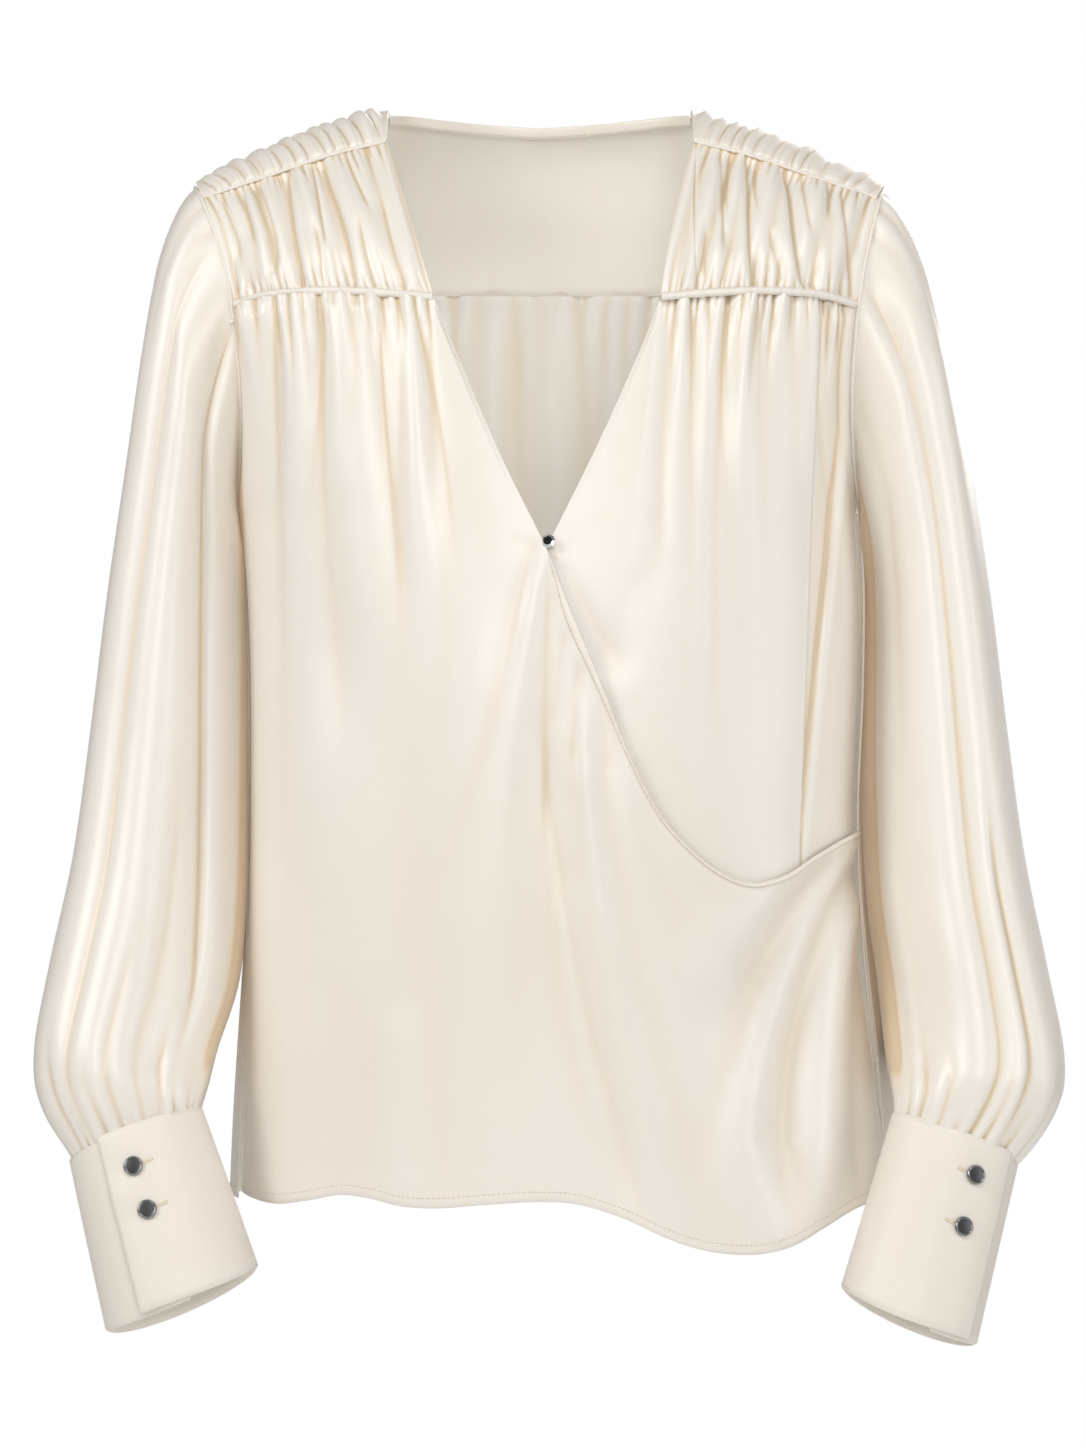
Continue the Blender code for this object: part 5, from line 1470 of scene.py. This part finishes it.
def cord_tree():
    tree, given, out = new_tree("cord", [
        ("Radius", "Float", 0.001), ("Step", "Float", 0.001), ("Lump", "Float", 0.2),
        ("Lump Size", "Float", 0.004), ("Seed", "Float", 0.0), ("Finish", "Material", None)])
    spaced = node(tree, "GeometryNodeResampleCurve", mode="LENGTH")
    noise = node(tree, "ShaderNodeTexNoise", noise_dimensions="4D", Detail=1.0)
    finer = node(tree, "ShaderNodeMath", operation="DIVIDE")
    finer.inputs[0].default_value = 1.0
    centred, scaled, grown, radius = (
        node(tree, "ShaderNodeMath", operation=kind) for kind in ("SUBTRACT", "MULTIPLY", "ADD", "MULTIPLY"))
    centred.inputs[1].default_value = 0.5
    grown.inputs[1].default_value = 1.0
    ring = node(tree, "GeometryNodeCurvePrimitiveCircle", mode="RADIUS", Resolution=8, Radius=1.0)
    tube = node(tree, "GeometryNodeCurveToMesh")
    tube.inputs["Fill Caps"].default_value = True
    smooth, real, painted, sized = (node(tree, "GeometryNode" + kind) for kind in (
        "SetShadeSmooth", "RealizeInstances", "SetMaterial", "SetCurveRadius"))
    join_up(tree, (given.outputs["Geometry"], spaced.inputs["Curve"]),
            (given.outputs["Step"], spaced.inputs["Length"]),
            (given.outputs["Lump Size"], finer.inputs[1]),
            (finer.outputs[0], noise.inputs["Scale"]), (given.outputs["Seed"], noise.inputs["W"]),
            (noise.outputs["Fac"], centred.inputs[0]), (centred.outputs[0], scaled.inputs[0]),
            (given.outputs["Lump"], scaled.inputs[1]), (scaled.outputs[0], grown.inputs[0]),
            (grown.outputs[0], radius.inputs[0]), (given.outputs["Radius"], radius.inputs[1]),
            (spaced.outputs[0], sized.inputs[0]), (radius.outputs[0], sized.inputs["Radius"]),
            (sized.outputs[0], tube.inputs["Curve"]), (ring.outputs[0], tube.inputs["Profile Curve"]))
    if "Scale" in tube.inputs:
        join_up(tree, (radius.outputs[0], tube.inputs["Scale"]))
    join_up(tree, (tube.outputs[0], smooth.inputs["Geometry"]), (smooth.outputs[0], real.inputs[0]),
            (real.outputs[0], painted.inputs["Geometry"]),
            (given.outputs["Finish"], painted.inputs["Material"]),
            (painted.outputs[0], out.inputs[0]))
    return tree


def grow(name, tree, lines, **values):
    """Runs a tree on some polylines of points in mm, and keeps the result as a plain mesh."""
    curve_data = bpy.data.curves.new(name + "_line", "CURVE")
    curve_data.dimensions = "3D"
    for line in lines:
        spline = curve_data.splines.new("POLY")
        spline.points.add(len(line) - 1)
        flat = np.concatenate([np.asarray(line) * MM, np.ones((len(line), 1))], 1)
        spline.points.foreach_set("co", flat.astype(np.float32).ravel())
    source = show(name + "_line", curve_data)
    work = source.modifiers.new("grow", "NODES")
    work.node_group = tree
    for label, value in values.items():
        work[input_named(tree, label.replace("_", " "))] = value
    graph = bpy.context.evaluated_depsgraph_get()
    data = bpy.data.meshes.new_from_object(source.evaluated_get(graph))
    data.name = name
    bpy.data.objects.remove(source)
    print(f"{name}: {sum(len(p.vertices) - 2 for p in data.polygons)} triangles")
    return show(name, data)


CORD_TREE = cord_tree()
CORD_FINISH = plain_finish("satin_cord", SATIN_FACE, 0.42, 0.0, 900.0, 0.00004)

# %% Cords of each side
CORD_STEP = 0.6
# radius, share by which it swells and shrinks, and length of the lumps
PIPING_SIZE = (2.3, 0.5, 2.6)
BAND_EDGE_SIZE = (1.1, 1.3, 1.7)
ARMHOLE_ROLL_SIZE = (1.25, 0.35, 3.0)
BACK_ROLL_SIZE = (1.0, 0.5, 3.0)
SIDE_ROLL_SIZE = (0.8, 0.3, 4.0)
# how far a line is moved from its seam
PIPING_SHIFT = (0, -1.4, 0)
BAND_EDGE_SHIFTS = {"front": (0, -0.5, -0.2), "back": (0, 1.0, -0.2)}
BAND_EDGE_SEEDS = {"front": 3, "back": 6}


def cord(name, line, size, seed):
    radius, lump, lump_size = size
    return grow(name, CORD_TREE, [line], Radius=radius * MM, Step=CORD_STEP * MM, Lump=lump,
                Lump_Size=lump_size * MM, Seed=float(seed), Finish=CORD_FINISH)


long_run, ring_run = np.linspace(0, 1, 160), np.linspace(0, 360, 220)
for side, word in WORDS.items():
    seam = yoke_seam(mix(0.012, 0.995, long_run), side) + np.array(PIPING_SHIFT)
    made["yoke_piping_" + word] = cord("wrap_piping_" + word, seam, PIPING_SIZE, side)
    for edge, shift in BAND_EDGE_SHIFTS.items():
        line = shoulder_point(mix(0.005, 0.995, long_run), side, edge) + np.array(shift)
        key = f"band_{edge}_edge_{word}"
        made[key] = cord(key, line, BAND_EDGE_SIZE, BAND_EDGE_SEEDS[edge] + side)
    loop = armhole(ring_run, side) + np.array([side * ARMHOLE_STEP / 2, 0, 0])
    made["armhole_roll_" + word] = cord("armhole_roll_" + word, loop, ARMHOLE_ROLL_SIZE, 9 + side)

# %% Roll of the back yoke seam
share = np.linspace(0.01, 0.99, 260)
seam_line = body_point(mix(-1.0, 1.0, share), share * 0 + BACK_SEAM_Z, 1)
seam_line = seam_line * np.array([0.997, 1.0, 1.0]) - np.array([0, 0.4, 0])
made["back_seam_roll"] = cord("back_seam_roll", seam_line, BACK_ROLL_SIZE, 2)

# %% [markdown]
# ## Stitches
#
# A row of stitches is a second Geometry Nodes tree: the line is cut into equal steps, a small
# long bead stands at every step, and each bead is turned to the line's own direction. A
# seeded random value makes some stitches a little shorter than others. The lines run just
# above the hems, along the turned edge of the wrap, on the neck binding and by the armholes.

# %% Stitch tree
def stitch_tree():
    tree, given, out = new_tree("stitches", [
        ("Pitch", "Float", 0.0026), ("Length", "Float", 0.0019), ("Thickness", "Float", 0.0004),
        ("Seed", "Int", 0), ("Finish", "Material", None)])
    spaced = node(tree, "GeometryNodeResampleCurve", mode="LENGTH")
    bead = node(tree, "GeometryNodeMeshUVSphere", Segments=6, Rings=4, Radius=0.5)
    varied = node(tree, "FunctionNodeRandomValue", data_type="FLOAT")
    varied.inputs[2].default_value = 0.82
    varied.inputs[3].default_value = 1.1
    long = node(tree, "ShaderNodeMath", operation="MULTIPLY")
    size = node(tree, "ShaderNodeCombineXYZ")
    turned = node(tree, "FunctionNodeAlignRotationToVector", axis="X")
    tangent, placed, smooth, real, painted = (node(tree, "GeometryNode" + kind) for kind in (
        "InputTangent", "InstanceOnPoints", "SetShadeSmooth", "RealizeInstances", "SetMaterial"))
    join_up(tree, (given.outputs["Geometry"], spaced.inputs["Curve"]),
            (given.outputs["Pitch"], spaced.inputs["Length"]),
            (given.outputs["Seed"], varied.inputs["Seed"]),
            (varied.outputs[1], long.inputs[0]), (given.outputs["Length"], long.inputs[1]),
            (long.outputs[0], size.inputs["X"]), (given.outputs["Thickness"], size.inputs["Y"]),
            (given.outputs["Thickness"], size.inputs["Z"]),
            (tangent.outputs[0], turned.inputs["Vector"]),
            (spaced.outputs[0], placed.inputs["Points"]),
            (bead.outputs["Mesh"], placed.inputs["Instance"]),
            (turned.outputs[0], placed.inputs["Rotation"]),
            (size.outputs[0], placed.inputs["Scale"]),
            (placed.outputs[0], real.inputs[0]), (real.outputs[0], smooth.inputs["Geometry"]),
            (smooth.outputs[0], painted.inputs["Geometry"]),
            (given.outputs["Finish"], painted.inputs["Material"]),
            (painted.outputs[0], out.inputs[0]))
    return tree


STITCH_TREE = stitch_tree()
STITCH_PITCH, STITCH_LENGTH, STITCH_THICKNESS, STITCH_LIFT = 2.8, 2.0, 0.62, 0.15
ARMHOLE_STITCH_TURNS = (20, 175)
HEM_STITCH_RISE = 5.2


def stitches(name, lines, seed):
    return grow(name, STITCH_TREE, lines, Pitch=STITCH_PITCH * MM, Length=STITCH_LENGTH * MM,
                Thickness=STITCH_THICKNESS * MM, Seed=seed, Finish=thread_finish)


def front_hem_line(edge, side):
    number = np.linspace(0.8, edge["column"][-1] - 0.8, 300)
    _, _, drop = front_place(edge, side, number, np.ones_like(number))
    return front_points(edge, side, number, 1 - HEM_STITCH_RISE / drop, STITCH_LIFT)


band_number = np.linspace(EDGE_BAND_START + 0.3, RIGHT_TOP_EDGE["column"][-1] - 2, 300)
back_hem_share = 1 - HEM_STITCH_RISE / (BACK_SEAM_Z - BACK_HEM_Z)
back_q = np.linspace(-0.985, 0.985, 320)
made["hem_stitches"] = stitches("hem_stitches", [
    front_hem_line(RIGHT_TOP_EDGE, -1), front_hem_line(LEFT_TOP_EDGE, 1),
    back_points(back_q, back_q * 0 + back_hem_share, STITCH_LIFT)], 1)
made["wrap_edge_stitches"] = stitches(
    "wrap_edge_stitches", [edge_band_line(band_number, 0.92, STITCH_LIFT)], 2)
made["binding_stitches"] = stitches(
    "binding_stitches", [binding_line(BINDING_DEPTH - 1.0, 0.25, 200)], 3)
made["armhole_stitches"] = stitches("armhole_stitches", [
    armhole(np.linspace(*ARMHOLE_STITCH_TURNS, 200), side) + np.array([-side * 2.2, -0.5, 0.4])
    for side in WORDS], 4)

# %% [markdown]
# ## Side seams
#
# The fronts and the back meet in a seam on each side, which shows as a fine roll from the
# underarm to the hem.

# %% Side seams
for side, word in WORDS.items():
    z = np.linspace(UNDERARM_Z - 2, BACK_HEM_Z + 6, 260)
    x, y = body_edge(z, side, -1)
    made["side_seam_" + word] = cord("side_seam_" + word, points(x, y, z), SIDE_ROLL_SIZE, 20 + side)

# %% [markdown]
# ## Buttons
#
# A cuff button is turned round its axis: a dark mirror disc in a bevelled, polished rim. It
# stands on the upper end of the cuff, square to the cloth. Its buttonhole is a short bar of
# close stitches that shows beside it. The button at the crossing is cut like a stone, so its
# facets stay flat, and a loop of thread holds it.

# %% Turned pieces
CUFF_BUTTON_SECTION = [
    # radius, height, and finish: 0 the disc, 1 the rim
    (0.0, 1.90, 0), (3.95, 1.89, 0), (4.20, 1.84, 0), (4.28, 1.75, 1), (4.50, 2.15, 1),
    (4.72, 2.25, 1), (5.00, 2.10, 1), (5.42, 1.45, 1), (5.50, 1.10, 1), (5.35, 0.45, 1),
    (4.60, 0.10, 1), (0.0, 0.05, 1)]
STONE_SECTION = [
    (0.0, 3.3, 0), (2.6, 3.2, 0), (4.0, 1.9, 1), (4.4, 0.9, 1), (3.8, 0.2, 1), (0.0, 0.0, 1)]
FRONT_BUTTON_PLACE, FRONT_BUTTON_FACING = (4.8, -109.6, -226.9), (-0.20, -1.0, 0.30)


def turned_piece(name, section, finishes, centre, direction, sides=48, smooth=True):
    """A solid turned round the line through its centre in a direction."""
    angles = np.linspace(0, 2 * np.pi, sides, endpoint=False)
    verts, faces, slots = [(0, 0, section[0][1])], [], []
    for radius, height, _ in section[1:-1]:
        verts += [(radius * np.cos(a), radius * np.sin(a), height) for a in angles]
    verts.append((0, 0, section[-1][1]))
    rings = len(section) - 2
    for k in range(sides):
        after = (k + 1) % sides
        faces.append((0, 1 + k, 1 + after))
        slots.append(section[1][2])
        for ring in range(rings - 1):
            low, high = 1 + ring * sides, 1 + (ring + 1) * sides
            faces.append((low + k, high + k, high + after, low + after))
            slots.append(section[ring + 2][2])
        last = 1 + (rings - 1) * sides
        faces.append((len(verts) - 1, last + after, last + k))
        slots.append(section[-1][2])
    turn = Vector(direction).to_track_quat("Z", "Y").to_matrix()
    placed = [(turn @ Vector(v) + Vector(centre)) * MM for v in verts]
    data = bpy.data.meshes.new(name)
    data.from_pydata(placed, [], faces)
    for finish in finishes:
        data.materials.append(finish)
    data.polygons.foreach_set("material_index", slots)
    data.polygons.foreach_set("use_smooth", [smooth] * len(faces))
    print(f"{name}: {sum(len(f) - 2 for f in faces)} triangles")
    return show(name, data)


def thread_bar(name, lines, radius, seed):
    """A thin bar or loop of thread."""
    return grow(name, CORD_TREE, lines, Radius=radius * MM, Step=0.3 * MM, Lump=0.1,
                Lump_Size=1.0 * MM, Seed=float(seed), Finish=thread_finish)


def cuff_spot(side, turn, down):
    """A place on a cuff and its outward direction."""
    turns, downs = np.array([turn, turn + 4, turn]), np.array([down, down, down + 0.04])
    here, beside, below = cuff_surface(side, turns, downs)
    outward = unit(np.cross(beside - here, below - here))
    middle = mix(*cuff_axis(side), down)
    return here, outward if outward @ (here - middle) > 0 else -outward


# %% Cuff buttons and buttonholes
BUTTON_LIFT = 0.2
BUTTONHOLE_TURNS = (8.5, 15.5)
BUTTONHOLE_HALF_WIDTH = 0.010
BUTTONHOLE_SLANT = 0.006
BUTTONHOLE_POINTS = 27
for side, word in WORDS.items():
    for count, (turn, down) in enumerate(CUFF_BUTTONS[word], 1):
        here, outward = cuff_spot(side, turn, down)
        key = f"cuff_button_{word}_{count}"
        made[key] = turned_piece("mirror_button_" + word + str(count), CUFF_BUTTON_SECTION,
                                 [disc_finish, rim_finish], here + outward * BUTTON_LIFT, outward)
        t = np.linspace(0, 1, BUTTONHOLE_POINTS)
        beside = turn + mix(*BUTTONHOLE_TURNS, t)
        zigzag = np.where(np.arange(BUTTONHOLE_POINTS) % 2 == 0, 1, -1) * BUTTONHOLE_HALF_WIDTH
        bar = cuff_surface(side, beside, down - BUTTONHOLE_SLANT * t + zigzag)
        hole = f"buttonhole_{word}_{count}"
        made[hole] = thread_bar(hole, [bar + outward * STITCH_LIFT], 0.24, count)

# %% Front button
LOOP_CENTRE, LOOP_HALF_SIZE = (7.4, -112.6, -235.4), (1.3, -0.5, 1.5)
LOOP_STEP = 1.1

made["front_button"] = turned_piece("stone_button", STONE_SECTION, [stone_finish, claw_finish],
                                    FRONT_BUTTON_PLACE, FRONT_BUTTON_FACING, 8, False)
arc = np.linspace(0, np.pi, 14)
loop = np.array(LOOP_CENTRE) + points(np.cos(arc), np.sin(arc), np.sin(arc)) * LOOP_HALF_SIZE
loops = [loop + np.array([step, 0, -step]) for step in (0.0, LOOP_STEP)]
made["button_loop"] = thread_bar("button_loop", loops, 0.3, 5)

# %% [markdown]
# ## What rides on what
#
# The garment is one body, so every piece rides on the root. Each finer piece of cloth stands
# for its solid, and so does each button; the solids are hidden.

# %% Ride and replace
CLOTH_NODES = ["front_right", "front_left", "edge_band", "back_lower", "back_yoke", "neck_binding"]
CLOTH_NODES += [f"{part}_{word}" for word in WORDS.values()
                for part in ("front_yoke", "shoulder_band", "sleeve", "cuff", "yoke_piping")]
BUTTONS = ["front_button"] + [f"cuff_button_{word}_{k}" for word in WORDS.values() for k in (1, 2)]
for key, piece in made.items():
    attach(piece, "root")
    if key in CLOTH_NODES:
        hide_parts(key)
    if key in BUTTONS:
        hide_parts(key)

print("pieces:", len(made))
